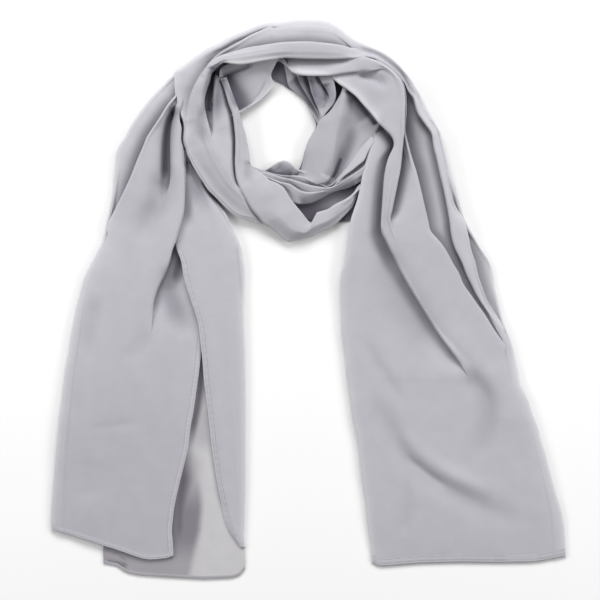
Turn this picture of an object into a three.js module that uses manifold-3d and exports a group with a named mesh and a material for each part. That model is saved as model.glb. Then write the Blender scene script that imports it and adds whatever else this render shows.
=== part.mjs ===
import * as THREE from "three";
import Module from "manifold-3d";

// A rectangular chiffon headscarf laid flat, gathered and wound once round an open neck loop.
// Millimetres. X to the right, Y towards the top of the loop, Z up; the cloth rests on z = 0.
// The origin is under the middle of the scarf's outline.

const CLOTH_COLOUR = 0xb9b8bf;
const CLOTH_ROUGHNESS = 0.85;
const SEAM_GAP = 0.3;      // clear space left between neighbouring stretches
const FOLD_HALF_WIDTH = 1; // half width of the step at a fold's edge
const EDGE_RADIUS = { loop: 9, tail: 4, ply: 2.5, hem: 1.5 };

// Each table has one row for each section across a stretch of cloth. Its columns are
//   ox, oy  plan position of the outer edge        ix, iy  plan position of the inner edge
//   zo, zi  height of the cloth at those edges
// and then three columns for each lengthwise fold, from the outer edge inwards:
//   share   where the fold lies on the way from the outer to the inner edge
//   top     height of the fold's upper side
//   drop    step down from it: below 0 the outer side is above, over 0 the inner side is

const LOOP_LEFT = [
  [-38.2, 79.3, -31.6, 97.5, 8, 11,  0.18, 11, 0,  0.69, 13, 0,  0.81, 13, 0],
  [-61.7, 85.8, -50.6, 108.4, 9.5, 16.1,  0.29, 13.6, 0,  0.84, 16.1, 0,  0.9, 16.1, 0],
  [-82.7, 93.4, -65.9, 121.3, 11, 18,  0.24, 15, 0,  0.83, 18, 0,  0.92, 18, 0],
  [-102.9, 112.6, -74.2, 143.4, 11.5, 12,  0.14, 16.5, 0,  0.66, 19, 0,  0.82, 19.5, 0],
  [-120.7, 136.7, -74.4, 169.5, 12, 12,  0.11, 18, 0,  0.53, 18, 0,  0.66, 21, 0],
  [-135, 166.4, -76.6, 190.6, 12, 12,  0.13, 19.6, 0,  0.47, 17.7, -2.6,  0.65, 22, 0],
  [-138.4, 199, -81.4, 209.3, 13, 11,  0.11, 20, 0,  0.47, 21, -9.9,  0.69, 21, 0],
  [-143.6, 218.9, -85.4, 220.8, 14, 10,  0.26, 20, 1,  0.54, 22, -13.9,  0.76, 20, 0],
  [-145.6, 236.4, -89.2, 231.2, 15, 9,  0.4, 20, 2,  0.68, 23, -16,  0.82, 19, 0],
  [-139, 251.3, -93, 238.5, 15, 8,  0.47, 20, 3,  0.73, 24, -17,  0.86, 17, 0],
  [-123.7, 263, -93.9, 244.7, 15, 7,  0.43, 20, 4.3,  0.68, 24, -17,  0.84, 11.2, 0],
];

const LOOP_TOP = [
  [-125.6, 261.6, -93.9, 243.7, 15, 7,  0.43, 20, 4.1,  0.52, 23, 1.1,  0.69, 24, -17,  0.85, 11.6, 0],
  [-114.9, 269, -93, 249.8, 15, 7,  0.42, 20, 5,  0.53, 23, 2,  0.72, 24, -17,  0.8, 10, 0],
  [-100.1, 277, -84.4, 254.1, 14, 23,  0.36, 20, 6,  0.53, 23, 4,  0.91, 23, 0,  0.93, 23, 0],
  [-80.6, 287.4, -69.2, 254.4, 13, 22,  0.28, 20, 6,  0.52, 23, 5,  0.93, 22, 0,  0.95, 22, 0],
  [-48.4, 299.4, -44.2, 257.9, 12.9, 21,  0.15, 17.8, 2.9,  0.58, 23.5, 6,  0.94, 21, 0,  0.96, 21, 0],
  [-8.8, 303.8, -8.8, 242.9, 15, 25.1,  0.1, 18, 0,  0.41, 24, 6,  0.71, 21, -1.9,  0.96, 25.1, 0],
  [14.1, 303, 14.9, 241.9, 15, 27,  0.11, 18, 0,  0.42, 24, 6,  0.71, 21, 0,  0.96, 27, 0],
  [33.3, 294.7, 31.5, 232.2, 15, 8,  0.1, 18, 0,  0.31, 24, 6,  0.56, 22, 1.2,  0.82, 28, -5],
  [50.6, 281.6, 43.2, 222.2, 14, 9,  0.05, 17, 0,  0.16, 23, 5,  0.36, 24, 2,  0.61, 28, -4],
  [68.8, 273.7, 54.6, 211.1, 13, 9,  0.03, 17, 0,  0.08, 22, 5,  0.21, 26, 4,  0.45, 28, -4],
  [87.3, 264.5, 64, 200, 12, 9,  0.04, 16, 0,  0.07, 21, 5,  0.18, 27, 6,  0.25, 28, -1],
  [103.7, 248.9, 72.3, 192.7, 12, 9,  0.02, 15, 0,  0.05, 20, 6,  0.17, 28, 8,  0.35, 27, 0],
  [118.1, 227.3, 70.3, 179.1, 12, 12,  0.06, 14, 0,  0.13, 19, 6,  0.29, 27, 10,  0.46, 26, 0],
];

const TAIL_RIGHT = [
  [116.2, 230.3, 71.7, 182.2, 12, 11.6,  0.06, 14.1, 0,  0.12, 19.1, 6,  0.23, 18.1, 1.8,  0.27, 27.2, 9.9,  0.46, 26.1, 0,  0.87, 24.2, -16.2],
  [131.6, 201.4, 64.6, 160.6, 12, 14,  0.05, 13, 0,  0.15, 18, 6,  0.4, 18, 4,  0.42, 26, 9,  0.52, 25, 0,  0.62, 23, -15],
  [145.2, 175.4, 59, 139, 11, 14,  0.06, 12, 0,  0.12, 17, 6,  0.41, 19, 7,  0.51, 25, 8,  0.6, 24, 0,  0.7, 23, -15],
  [152.1, 147.2, 54.8, 116.6, 11, 13,  0.06, 12, 0,  0.12, 16, 5.5,  0.36, 19, 8,  0.56, 23, 7,  0.64, 22, 0,  0.73, 22, -15],
  [159.8, 120.2, 47.8, 93.4, 10, 12,  0.05, 11, 1,  0.12, 15, 5,  0.32, 18, 7,  0.6, 21, 4,  0.66, 20, 0,  0.72, 20, -14],
  [167, 93.9, 43.1, 71.1, 6, 11,  0.02, 9, 3,  0.12, 13, 5,  0.3, 17, 7,  0.62, 18, 1.2,  0.66, 18, 0,  0.71, 18, -13],
  [179.9, 68.6, 40, 48.8, 5, 10,  0.04, 8, 4,  0.17, 12, 5,  0.27, 16, 6,  0.57, 17, 0,  0.62, 17, 0,  0.66, 16, -11],
  [196.6, 40.9, 34.6, 24, 4, 9,  0.08, 7, 4,  0.2, 11, 4,  0.24, 14, 5,  0.52, 15, 0,  0.56, 15, 0,  0.6, 14, -8.5],
  [202.8, 10.6, 34.8, -2, 4, 8,  0.06, 6, 3,  0.16, 9, 2.5,  0.18, 12, 5,  0.46, 13, 0,  0.49, 13, 0,  0.52, 13, -7],
  [209.9, -19.6, 35.7, -30.1, 4, 7,  0.02, 5, 1.5,  0.09, 7.5, 1,  0.11, 10, 4,  0.39, 11, 0,  0.42, 11, 0,  0.44, 11, -5],
  [222.4, -54.8, 39.5, -58.6, 4, 6.5,  0.02, 4.5, 0,  0.04, 6, 0,  0.06, 8, 3,  0.3, 9, 0,  0.33, 9, 0,  0.37, 9, -3],
  [228.4, -87.9, 42.5, -89.8, 5, 6,  0.02, 5.5, 0,  0.04, 6, 0,  0.06, 6.5, 1,  0.24, 7.5, 0,  0.29, 7.5, 0,  0.37, 7.5, -0.8],
  [246.4, -131.2, 48.5, -132.2, 5, 6,  0.02, 6, 0,  0.04, 6.5, 0,  0.08, 6.5, 0,  0.28, 7, 0,  0.34, 7, 0,  0.43, 7, 0],
  [259.3, -175, 55.6, -175.9, 5, 5.5,  0.02, 6, 0,  0.06, 6, 0,  0.1, 6, 0,  0.32, 6.5, 0,  0.39, 6.5, 0,  0.49, 6.5, 0],
  [271.3, -218.4, 61.6, -219.3, 4.5, 5,  0.02, 5, 0,  0.07, 5.5, 0,  0.11, 5.5, 0,  0.37, 6, 0,  0.45, 6, 0,  0.55, 6, 0],
  [277.8, -251.1, 65.6, -254.9, 3.5, 4,  0.02, 4, 0,  0.08, 4.5, 0,  0.12, 4.5, 0,  0.41, 5, 0,  0.48, 5, 0,  0.58, 5, 0],
  [278.9, -268, 68, -273.6, 3, 3,  0.02, 3.2, 0,  0.08, 3.5, 0,  0.12, 3.5, 0,  0.42, 3.8, 0,  0.5, 3.8, 0,  0.59, 3.8, 0],
  [279.9, -279.9, 70.1, -285.9, 2.4, 2.4,  0.03, 2.4, 0,  0.08, 2.4, 0,  0.13, 2.4, 0,  0.42, 2.4, 0,  0.5, 2.4, 0,  0.6, 2.4, 0],
  [257.1, -282.9, 77.7, -289.5, 2.4, 2.4,  0.03, 2.4, 0,  0.08, 2.4, 0,  0.13, 2.4, 0,  0.42, 2.4, 0,  0.5, 2.4, 0,  0.6, 2.4, 0],
];

const TAIL_LEFT_MAIN = [
  [-145.3, 246.8, -120.5, 223.4, 6, 6,  0.36, 11, 2,  0.53, 12, 3,  0.71, 13, -2],
  [-155.4, 235.8, -122.9, 211.4, 6, 6,  0.41, 12, 3,  0.51, 13, 5,  0.64, 14, -5.1],
  [-169, 221.6, -124.6, 197.9, 6, 5,  0.38, 13, 4,  0.53, 14, 8,  0.66, 14, -8],
  [-184.2, 202.4, -124.6, 180.2, 6, 5,  0.35, 14, 5,  0.57, 14, 9,  0.78, 14, -9],
  [-208.1, 161.5, -123.8, 149.5, 6, 5,  0.3, 14, 5,  0.66, 14, 9,  0.87, 14, -9],
  [-212.1, 118.6, -122.5, 113.5, 5.5, 5,  0.13, 13, 4.5,  0.64, 12.5, 3,  0.87, 13.5, -9],
  [-215.8, 97.1, -121.8, 93.6, 5, 5,  0.06, 11, 3,  0.57, 11, 0,  0.86, 13, -8.5],
  [-220.7, 75.6, -121.1, 73, 5, 5,  0.02, 9, 1,  0.47, 10, 0,  0.81, 12.5, -8],
  [-228.8, 53.7, -119.8, 51.9, 6, 4.5,  0.05, 8.5, 0,  0.42, 10, 0,  0.74, 12, -7.5],
  [-240.9, 30.1, -117.9, 29.1, 6, 4.5,  0.06, 8, 0,  0.41, 9.5, 0,  0.7, 11, -6.5],
  [-248.7, 5.2, -115.3, 5.2, 6, 4.5,  0.07, 8, 0,  0.41, 9, 0,  0.62, 9.5, -4],
  [-254.9, -22, -114, -22, 6, 4.5,  0.08, 7.5, 0,  0.41, 8, 0,  0.61, 8, -1],
  [-260.5, -55.4, -116.3, -55.4, 6, 5,  0.09, 7, 0,  0.43, 7.5, 0,  0.63, 7, 0],
  [-267.2, -98.8, -121.6, -98.8, 6, 6,  0.1, 7, 0,  0.45, 7.5, 0,  0.67, 7, 0],
  [-272.4, -142.3, -128.5, -142.3, 5.5, 6.5,  0.11, 6.5, 0,  0.47, 7, 0,  0.69, 7, 0],
  [-278.7, -218.8, -146.3, -229.8, 4.5, 6,  0.13, 5.5, 0,  0.51, 6, 0,  0.75, 6, 0],
  [-279.7, -235.4, -148.2, -253.8, 4, 5.5,  0.14, 5, 0,  0.52, 5.5, 0,  0.76, 5.5, 0],
  [-279.3, -247.5, -147.0, -278.3, 3.4, 4.6,  0.13, 4.4, 0,  0.51, 4.6, 0,  0.74, 4.6, 0],
  [-259.2, -255.6, -152.2, -280.8, 3.4, 4.4,  0.13, 4.2, 0,  0.51, 4.4, 0,  0.74, 4.4, 0],
  [-226.6, -266.7, -163.6, -282.1, 3.2, 4,  0.13, 3.8, 0,  0.51, 4, 0,  0.74, 4, 0],
];

const TAIL_LEFT_INNER = [
  [-126.6, 162.5, -115.8, 162.5, 6, 6,  0.5, 8, 0],
  [-129.3, 103, -100.9, 103, 7, 7,  0.49, 9, 0],
  [-135.4, 75.9, -83.2, 75.9, 7.5, 7.5,  0.49, 9, 0],
  [-138.6, 48.2, -72.4, 48.2, 8, 7.5,  0.48, 9, 0],
  [-134.6, 21.3, -70.8, 21.3, 8.3, 7.5,  0.47, 9, 0],
  [-125.7, -6.4, -71.7, -6.4, 8.3, 7.5,  0.45, 9, 0],
  [-118.7, -32.7, -71, -32.7, 8, 7,  0.43, 8.5, 0],
  [-115.2, -65.6, -69.7, -65.6, 7.5, 6.5,  0.44, 8, 0],
  [-105.9, -153.2, -69, -153.2, 5, 5.5,  0.53, 6.5, 0],
  [-99.6, -196.6, -69.1, -196.6, 4.3, 5,  0.57, 5.5, 0],
  [-92.1, -234, -70, -234, 3.8, 4.4,  0.67, 4.5, 0],
  [-80.8, -259.7, -70.7, -259.7, 3.6, 3.8,  0.7, 3.8, 0],
  [-72.3, -274.5, -70.3, -274.5, 3.4, 3.5,  0.02, 3.5, 0],
];

const TAIL_LEFT_UNDER = [
  [-173.6, -49.5, -78.5, -49.5, 2.2, 2.2],
  [-196.9, -142.1, -74.1, -142.1, 2.2, 2.2],
  [-215.9, -229.1, -72, -229.2, 2.2, 2.2],
  [-222, -261.9, -69.8, -267, 2, 2],
  [-222.9, -278.8, -69.2, -286.4, 1.9, 1.9],
  [-222.1, -287.0, -69.7, -294.0, 1.7, 1.7],
  [-200.6, -293.5, -77.7, -301.0, 1.5, 1.5],
  [-172.3, -298.9, -94.0, -303.8, 1.3, 1.3],
];

const LOOP_INNER_LEFT = [
  [-95.1, 239.8, -92.5, 240.3, 19, 17,  0.04, 17, 0],
  [-91.4, 228.7, -87.8, 229.6, 19, 17,  0.3, 17, 0],
  [-87.8, 216.2, -82.5, 217.6, 19, 17,  0.45, 19, 0],
  [-82.8, 201.5, -75.4, 203.3, 19, 16,  0.44, 18, 0],
  [-79.3, 164.8, -65.3, 165.3, 19, 14,  0.44, 17, 0],
  [-79, 134.3, -55.9, 140.2, 19, 16,  0.4, 17, 0],
  [-74.5, 120.4, -44.1, 133.1, 19, 17,  0.41, 17, 0],
  [-66.8, 106, -28.2, 124.6, 18, 17,  0.42, 17, 0],
  [-58.5, 93.6, -20.1, 113.5, 16, 17,  0.52, 17, 0],
  [-48.6, 82.5, -14.1, 103.5, 13, 16,  0.57, 17, 0],
  [-34.7, 72.6, -7.9, 95.5, 10, 15,  0.52, 16, 0],
  [-22.6, 62.7, -2, 91, 8, 14,  0.58, 15, 0],
  [-7.9, 65.4, 4.9, 92.4, 8, 13,  0.49, 14, 0],
  [5.7, 69.4, 13.7, 96.4, 8, 13,  0.5, 13, 0],
  [31.7, 84.4, 31.1, 103.8, 8, 13,  0.49, 12, 0],
  [51.6, 104.9, 48.5, 113.3, 7, 12,  0.45, 10, 0],
  [60.1, 114.5, 57.8, 120.8, 6, 10,  0.49, 9, 0],
];

const LOOP_RIGHT_INNER = [
  [84.1, 239.1, 34.1, 241.3, 13, 12,  0.52, 14, 0,  0.89, 15, 0],
  [83.1, 224.3, 36.5, 227.8, 13, 13,  0.67, 14, 0,  0.94, 13, 0],
  [82, 210, 31.1, 216.6, 13, 13,  0.62, 13, 0,  0.91, 17, 0],
  [79.4, 195.2, 22.8, 204.1, 13, 13,  0.54, 11, 0,  0.83, 17, 0],
  [74.3, 182.1, 11.8, 194.2, 12, 12,  0.46, 9, 0,  0.72, 17, 0],
  [65.4, 170, 4.9, 181, 11, 11,  0.41, 7.5, 0,  0.63, 17, 0],
  [56.3, 158.9, -2, 168.4, 10, 11,  0.33, 6, 0,  0.51, 17, 0],
  [47.2, 148.8, -5.2, 155.7, 9, 10,  0.25, 5, 0,  0.42, 17, 0],
  [38.7, 139, -7.4, 144.9, 8.5, 9,  0.17, 5, 0,  0.32, 17, 0],
  [30, 128, -9.3, 138.4, 8, 8,  0.12, 5.5, 0,  0.26, 16, 0],
  [20.4, 119.2, -11.7, 134.5, 7.5, 7,  0.12, 6, 0,  0.44, 14, 0],
];

const LOOP_BOTTOM_PLIES = [
  [-68.3, 147.6, -69.7, 139, 4, 9,  0.23, 6, 0,  0.47, 8, 1,  0.7, 9, 0],
  [-54.2, 142.1, -57.3, 134.1, 5, 10,  0.14, 7, 1.5,  0.32, 10, 2,  0.64, 11, 0],
  [-40.9, 144.6, -45.9, 127.6, 6, 11,  0.37, 8, 3,  0.44, 12, 3,  0.69, 12.5, 0.6],
  [-25.5, 150.9, -31.2, 119, 6, 11,  0.5, 9, 4,  0.57, 12.5, 3,  0.73, 13, 1.2],
  [-11.9, 141.9, -16.5, 104.8, 7, 11,  0.2, 10, 3.5,  0.36, 13, 2.6,  0.54, 13, 1.5],
  [2.1, 133.9, 0.9, 104.2, 8, 11,  0.09, 12, 3,  0.33, 13.5, 2.2,  0.6, 13, 0.5],
  [15.2, 126.1, 16, 110.6, 9, 11,  0.09, 13, 2,  0.29, 14, 1.6,  0.54, 13, 0],
  [27.6, 127.4, 28.8, 116.9, 11, 10.5,  0.32, 14, 1,  0.41, 14, 0.5,  0.58, 13, 0],
  [38.4, 140.1, 43.5, 121.2, 13, 10,  0.3, 15, -2,  0.49, 14, 0,  0.66, 13, 0],
  [49.1, 153.9, 56.6, 128.1, 14, 9,  0.4, 15, -3,  0.56, 14, 0,  0.71, 12.5, 0],
  [59.7, 167.8, 67.5, 137.3, 14, 8,  0.4, 15, -3,  0.6, 13.5, 0,  0.77, 12, 0],
  [69.1, 178.4, 74.3, 152.6, 13, 7,  0.34, 14, -2,  0.62, 12, 0,  0.82, 10, 0],
];

const LOOP_INNER_BACK = [
  [-89.6, 197, -106.7, 216.2, 9, 9],
  [-78.8, 200.7, -99.7, 230.4, 9, 10],
  [-65.9, 207.8, -91.4, 243.5, 8, 12],
  [-53.1, 216, -79.5, 252.7, 7, 13],
  [-43.3, 225.1, -68.5, 260.6, 7, 13],
  [-40.2, 246, -57.8, 265.4, 7, 13],
  [-35.8, 255.1, -50.4, 269.1, 8, 12],
  [-30.7, 265.2, -43, 273.4, 9, 12],
];

const LOOP_RIGHT_PLIES = [
  [-27.5, 262.5, 24.9, 262.5, 5, 17,  0.18, 11, 2,  0.4, 14, 3,  0.67, 16, 2],
  [-25.8, 251.5, 26, 250, 5, 17,  0.21, 11, 2,  0.42, 14, 3,  0.67, 16, 2],
  [-23.1, 236.7, 27.5, 238.2, 5, 17,  0.25, 10, 2,  0.45, 13.5, 3.5,  0.71, 15.5, 2],
  [-11.5, 222.9, 29.5, 227.6, 5, 16,  0.2, 9, 2,  0.35, 13, 4,  0.76, 15, 2],
  [-3.9, 215.3, 29.7, 219.3, 5, 15,  0.17, 9, 2,  0.29, 12.5, 4,  0.78, 14, 1],
  [1.6, 205.9, 26.6, 210.8, 5, 13,  0.22, 8.5, 2,  0.32, 12, 3.5,  0.63, 13, 0],
  [6.3, 197.8, 19.5, 202.7, 6, 12,  0.33, 8, 1.5,  0.44, 11, 3,  0.56, 12, 0],
  [9.2, 191, 15.8, 195.3, 6, 10,  0.44, 8, 1,  0.61, 10, 1.5,  0.67, 10, 0],
];

const LOOP_UNDER = [
  [-51.1, 262.8, -56.7, 286.6, 3, 4],
  [-33.7, 251.9, -28.7, 288.3, 3, 4],
  [-20.7, 231.1, 25.7, 285.7, 3, 5],
  [-6.1, 217.5, 63, 264, 3, 6],
  [3, 203.9, 88.7, 223.2, 3, 6],
  [1.6, 174.3, 88.5, 161.4, 3, 6],
  [-3.9, 162.3, 80.2, 136.2, 3, 6],
  [-6.8, 150.2, 65.5, 112.1, 3, 6],
  [-13, 140.1, 33.4, 93.4, 3, 6],
  [-31, 139.2, -0.4, 87.5, 3, 6],
  [-46.2, 138.7, -31.9, 93.7, 3, 6],
  [-60.8, 136.5, -56.5, 105, 3, 6],
  [-68.3, 131.4, -70.4, 114.4, 3, 5],
];

// One entry for each stretch, lowest first: what lies on a stretch is cut to its shape.
const STRETCHES = [
  { name: "tail_left_under", rows: TAIL_LEFT_UNDER, outer: "hem", inner: "hem", rounds: 1 },
  { name: "loop_under", rows: LOOP_UNDER, outer: "hem", inner: "hem", rounds: 1 },
  { name: "tail_left_main", rows: TAIL_LEFT_MAIN, outer: "tail", inner: "hem", rounds: 2 },
  { name: "tail_left_inner", rows: TAIL_LEFT_INNER, outer: "hem", inner: "tail", rounds: 1 },
  { name: "loop_inner_back", rows: LOOP_INNER_BACK, outer: "hem", inner: "hem", rounds: 1 },
  { name: "loop_right_plies", rows: LOOP_RIGHT_PLIES, outer: "hem", inner: "ply", rounds: 2 },
  { name: "loop_bottom_plies", rows: LOOP_BOTTOM_PLIES, outer: "ply", inner: "ply", rounds: 2 },
  { name: "loop_right_inner", rows: LOOP_RIGHT_INNER, outer: "ply", inner: "ply", rounds: 1 },
  { name: "loop_left", rows: LOOP_LEFT, outer: "loop", inner: "ply", rounds: 2 },
  { name: "loop_inner_left", rows: LOOP_INNER_LEFT, outer: "ply", inner: "ply", rounds: 2 },
  { name: "loop_top", rows: LOOP_TOP, outer: "loop", inner: "ply", rounds: 2 },
  { name: "tail_right", rows: TAIL_RIGHT, outer: "tail", inner: "tail", rounds: 2 },
];

// A row of a table as a section with named fields.
function sectionOf(row) {
  const [ox, oy, ix, iy, zo, zi, ...rest] = row;
  const folds = [];
  for (let k = 0; k < rest.length; k += 3)
    folds.push({ share: rest[k], top: rest[k + 1], drop: rest[k + 2] });
  return { ox, oy, ix, iy, zo, zi, folds };
}

// Smooth curve through four neighbouring values.
function through(a, b, c, d, t) {
  const m0 = (c - a) / 2, m1 = (d - b) / 2;
  return (2 * t ** 3 - 3 * t ** 2 + 1) * b + (t ** 3 - 2 * t ** 2 + t) * m0 +
    (3 * t ** 2 - 2 * t ** 3) * c + (t ** 3 - t ** 2) * m1;
}

// The rows with smooth sections worked out between them. Plan columns and shares follow a curve, heights a straight line.
function refined(rows, rounds) {
  const out = [];
  const at = (k) => rows[Math.min(Math.max(k, 0), rows.length - 1)];
  const curved = (c) => c < 4 || (c - 6) % 3 === 0;
  for (let k = 0; k < rows.length - 1; k++)
    for (let s = 0; s < rounds; s++) {
      const t = s / rounds;
      out.push(rows[k].map((v, c) => curved(c)
        ? through(at(k - 1)[c], v, at(k + 1)[c], at(k + 2)[c], t)
        : v + (at(k + 1)[c] - v) * t));
    }
  out.push(rows[rows.length - 1]);
  return out.map(sectionOf);
}

// Points of one section from the outer edge over the folds to the inner edge: distance across and height.
function profileOf(section, width, stretch, grow) {
  const ro = Math.min(EDGE_RADIUS[stretch.outer], width * 0.22);
  const ri = Math.min(EDGE_RADIUS[stretch.inner], width * 0.22);
  const { zo, zi, folds } = section;
  const w = Math.min(FOLD_HALF_WIDTH, width * 0.04);
  const pts = [[0, 0], [0, zo * 0.45], [ro * 0.3, zo * 0.85], [ro, zo]];
  for (const { share, top, drop } of folds) {
    const c = share * width - Math.sign(drop) * grow;
    pts.push([c - w, drop > 0 ? top - drop : top]);
    pts.push([c + w, drop < 0 ? top + drop : top]);
  }
  pts.push([width - ri, zi], [width - ri * 0.3, zi * 0.85], [width, zi * 0.45], [width, 0]);
  // points that folds crowd together keep their order
  const last = pts.length - 4;
  const step = Math.min(0.3, width / 80);
  for (let k = 4; k < last; k++) pts[k][0] = Math.max(pts[k][0], pts[k - 1][0] + step);
  for (let k = last - 1; k > 3; k--) pts[k][0] = Math.min(pts[k][0], pts[k + 1][0] - step);
  return pts.map(([p, z]) => [p, z > 0 ? z + grow : z]);
}

// Closed solid of a stretch. A grow over 0 makes it that much larger all round, to cut what lies against it.
function stretchGeometry(stretch, grow = 0) {
  const sections = refined(stretch.rows, stretch.rounds);
  const rings = sections.map((s) => {
    const d = new THREE.Vector2(s.ix - s.ox, s.iy - s.oy);
    const width = d.length() + 2 * grow;
    d.normalize();
    return profileOf(s, width, stretch, grow).map(([p, z]) => new THREE.Vector3(
      s.ox + d.x * (p - grow), s.oy + d.y * (p - grow), z));
  });
  if (grow > 0) {
    const push = (ring, next) => {
      const a = ring[0].clone().add(ring[ring.length - 1]).multiplyScalar(0.5);
      const b = next[0].clone().add(next[next.length - 1]).multiplyScalar(0.5);
      const out = a.sub(b).setLength(grow);
      ring.forEach((v) => v.add(out));
    };
    push(rings[0], rings[1]);
    push(rings[rings.length - 1], rings[rings.length - 2]);
  }
  const n = rings[0].length;
  const m = rings.length - 1;
  const vertices = rings.flat();
  const index = [];
  const quad = (a, b, c, d) => index.push(a, b, c, a, c, d);
  for (let j = 0; j < m; j++)
    for (let k = 0; k < n - 1; k++)
      quad(j * n + k, j * n + k + 1, (j + 1) * n + k + 1, (j + 1) * n + k);
  for (let j = 1; j < m - 1; j++)
    quad(j * n + n - 1, j * n, (j + 1) * n, (j + 1) * n + n - 1);
  // the two ends: a row of feet under the section's points closes the end face and the underside
  for (const [j, next, flip] of [[0, 1, false], [m, m - 1, true]]) {
    const foot = (k) => {
      if (k < 2) return j * n;
      if (k > n - 3) return j * n + n - 1;
      const v = rings[j][k];
      return vertices.push(new THREE.Vector3(v.x, v.y, 0)) - 1;
    };
    const feet = rings[j].map((_, k) => foot(k));
    const tri = (a, b, c) => {
      if (a === b || b === c || a === c) return;
      flip ? index.push(a, b, c) : index.push(a, c, b);
    };
    for (let k = 0; k < n - 1; k++) {
      tri(feet[k], j * n + k, j * n + k + 1);
      tri(feet[k], j * n + k + 1, feet[k + 1]);
      tri(next * n, feet[k], feet[k + 1]);
    }
    tri(next * n, feet[n - 1], next * n + n - 1);
  }
  const positions = vertices.flatMap((v) => [v.x, v.y, v.z]);
  const g = new THREE.BufferGeometry();
  g.setAttribute("position", new THREE.Float32BufferAttribute(positions, 3));
  g.setIndex(index);
  return g;
}

const wasm = await Module();
wasm.setup();

function solidOf(geometry) {
  const solid = (tri) => new wasm.Manifold(new wasm.Mesh({
    numProp: 3, vertProperties: geometry.getAttribute("position").array, triVerts: tri,
  }));
  const tri = new Uint32Array(geometry.getIndex().array);
  const made = solid(tri);
  if (made.volume() > 0) return made;
  for (let k = 0; k < tri.length; k += 3) [tri[k + 1], tri[k + 2]] = [tri[k + 2], tri[k + 1]];
  return solid(tri);
}

function geometryOf(solid) {
  const mesh = solid.getMesh();
  const g = new THREE.BufferGeometry();
  const n = mesh.numProp;
  const v = new Float32Array(mesh.numVert * 3);
  for (let k = 0; k < mesh.numVert; k++)
    v.set(mesh.vertProperties.subarray(k * n, k * n + 3), k * 3);
  g.setAttribute("position", new THREE.BufferAttribute(v, 3));
  g.setIndex(new THREE.BufferAttribute(mesh.triVerts, 1));
  g.computeVertexNormals();
  return g;
}

const cloth = new THREE.MeshStandardMaterial({
  color: CLOTH_COLOUR, roughness: CLOTH_ROUGHNESS, metalness: 0, side: THREE.DoubleSide,
});

const scarf = new THREE.Group();
scarf.name = "hijab_headscarf";
const parts = { loop: new THREE.Group(), tail: new THREE.Group() };
scarf.add(parts.loop, parts.tail);

const below = [];
for (const stretch of STRETCHES) {
  const whole = solidOf(stretchGeometry(stretch));
  let solid = whole;
  for (const lower of below) solid = solid.subtract(lower);
  // slivers that the cut leaves in tight corners are dropped
  const bodies = solid.decompose().sort((a, b) => b.volume() - a.volume());
  const mesh = new THREE.Mesh(geometryOf(bodies[0]), cloth.clone());
  mesh.name = stretch.name;
  parts[stretch.name.split("_")[0]].add(mesh);
  // the raised copy keeps the gap where folds crowd together
  below.push(solidOf(stretchGeometry(stretch, SEAM_GAP)).add(whole.translate([0, 0, SEAM_GAP * 0.7])));
}

export default scarf;
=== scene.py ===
import math

import bpy
import numpy as np
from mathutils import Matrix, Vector


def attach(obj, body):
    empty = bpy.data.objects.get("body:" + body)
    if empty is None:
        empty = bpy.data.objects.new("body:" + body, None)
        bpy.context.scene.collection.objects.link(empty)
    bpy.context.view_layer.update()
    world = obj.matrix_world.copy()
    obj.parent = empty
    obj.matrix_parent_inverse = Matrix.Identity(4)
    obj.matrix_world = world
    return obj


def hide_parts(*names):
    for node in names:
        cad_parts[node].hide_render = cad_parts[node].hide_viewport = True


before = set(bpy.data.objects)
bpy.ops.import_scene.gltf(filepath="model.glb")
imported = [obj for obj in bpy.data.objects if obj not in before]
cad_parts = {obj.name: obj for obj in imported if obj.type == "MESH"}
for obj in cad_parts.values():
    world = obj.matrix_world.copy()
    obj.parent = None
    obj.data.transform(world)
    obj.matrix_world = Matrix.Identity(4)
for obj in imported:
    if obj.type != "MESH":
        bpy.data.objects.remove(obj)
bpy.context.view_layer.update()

# A rectangular chiffon headscarf laid flat and wound once round an open neck loop.
# Plan tables give x to the right and y down from the top, in plan units of UNIT mm; heights are in mm.

UNIT = 1.087            # mm for one plan unit
CX, CY = 308.5, 299.5   # plan point over the origin
S_COLS = 11             # columns in one fold


def dense(pts, step=1.0):
    """Centripetal Catmull-Rom through the points, resampled."""
    P = np.asarray(pts, float)
    if len(P) == 2:
        n = max(2, int(np.linalg.norm(P[1] - P[0]) / step))
        return P[0] + (P[1] - P[0]) * np.linspace(0, 1, n + 1)[:, None]
    Q = np.vstack([2 * P[0] - P[1], P, 2 * P[-1] - P[-2]])
    out = []
    for k in range(1, len(Q) - 2):
        p0, p1, p2, p3 = Q[k - 1], Q[k], Q[k + 1], Q[k + 2]
        t0 = 0.0
        t1 = t0 + max(np.linalg.norm(p1 - p0), 1e-6) ** 0.5
        t2 = t1 + max(np.linalg.norm(p2 - p1), 1e-6) ** 0.5
        t3 = t2 + max(np.linalg.norm(p3 - p2), 1e-6) ** 0.5
        n = max(1, int(np.ceil(np.linalg.norm(p2 - p1) / step)))
        t = np.linspace(t1, t2, n, endpoint=False)[:, None]
        a1 = (t1 - t) / (t1 - t0) * p0 + (t - t0) / (t1 - t0) * p1
        a2 = (t2 - t) / (t2 - t1) * p1 + (t - t1) / (t2 - t1) * p2
        a3 = (t3 - t) / (t3 - t2) * p2 + (t - t2) / (t3 - t2) * p3
        b1 = (t2 - t) / (t2 - t0) * a1 + (t - t0) / (t2 - t0) * a2
        b2 = (t3 - t) / (t3 - t1) * a2 + (t - t1) / (t3 - t1) * a3
        out.append((t2 - t) / (t2 - t1) * b1 + (t - t1) / (t2 - t1) * b2)
    out.append(P[-1:])
    return np.vstack(out)


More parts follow.
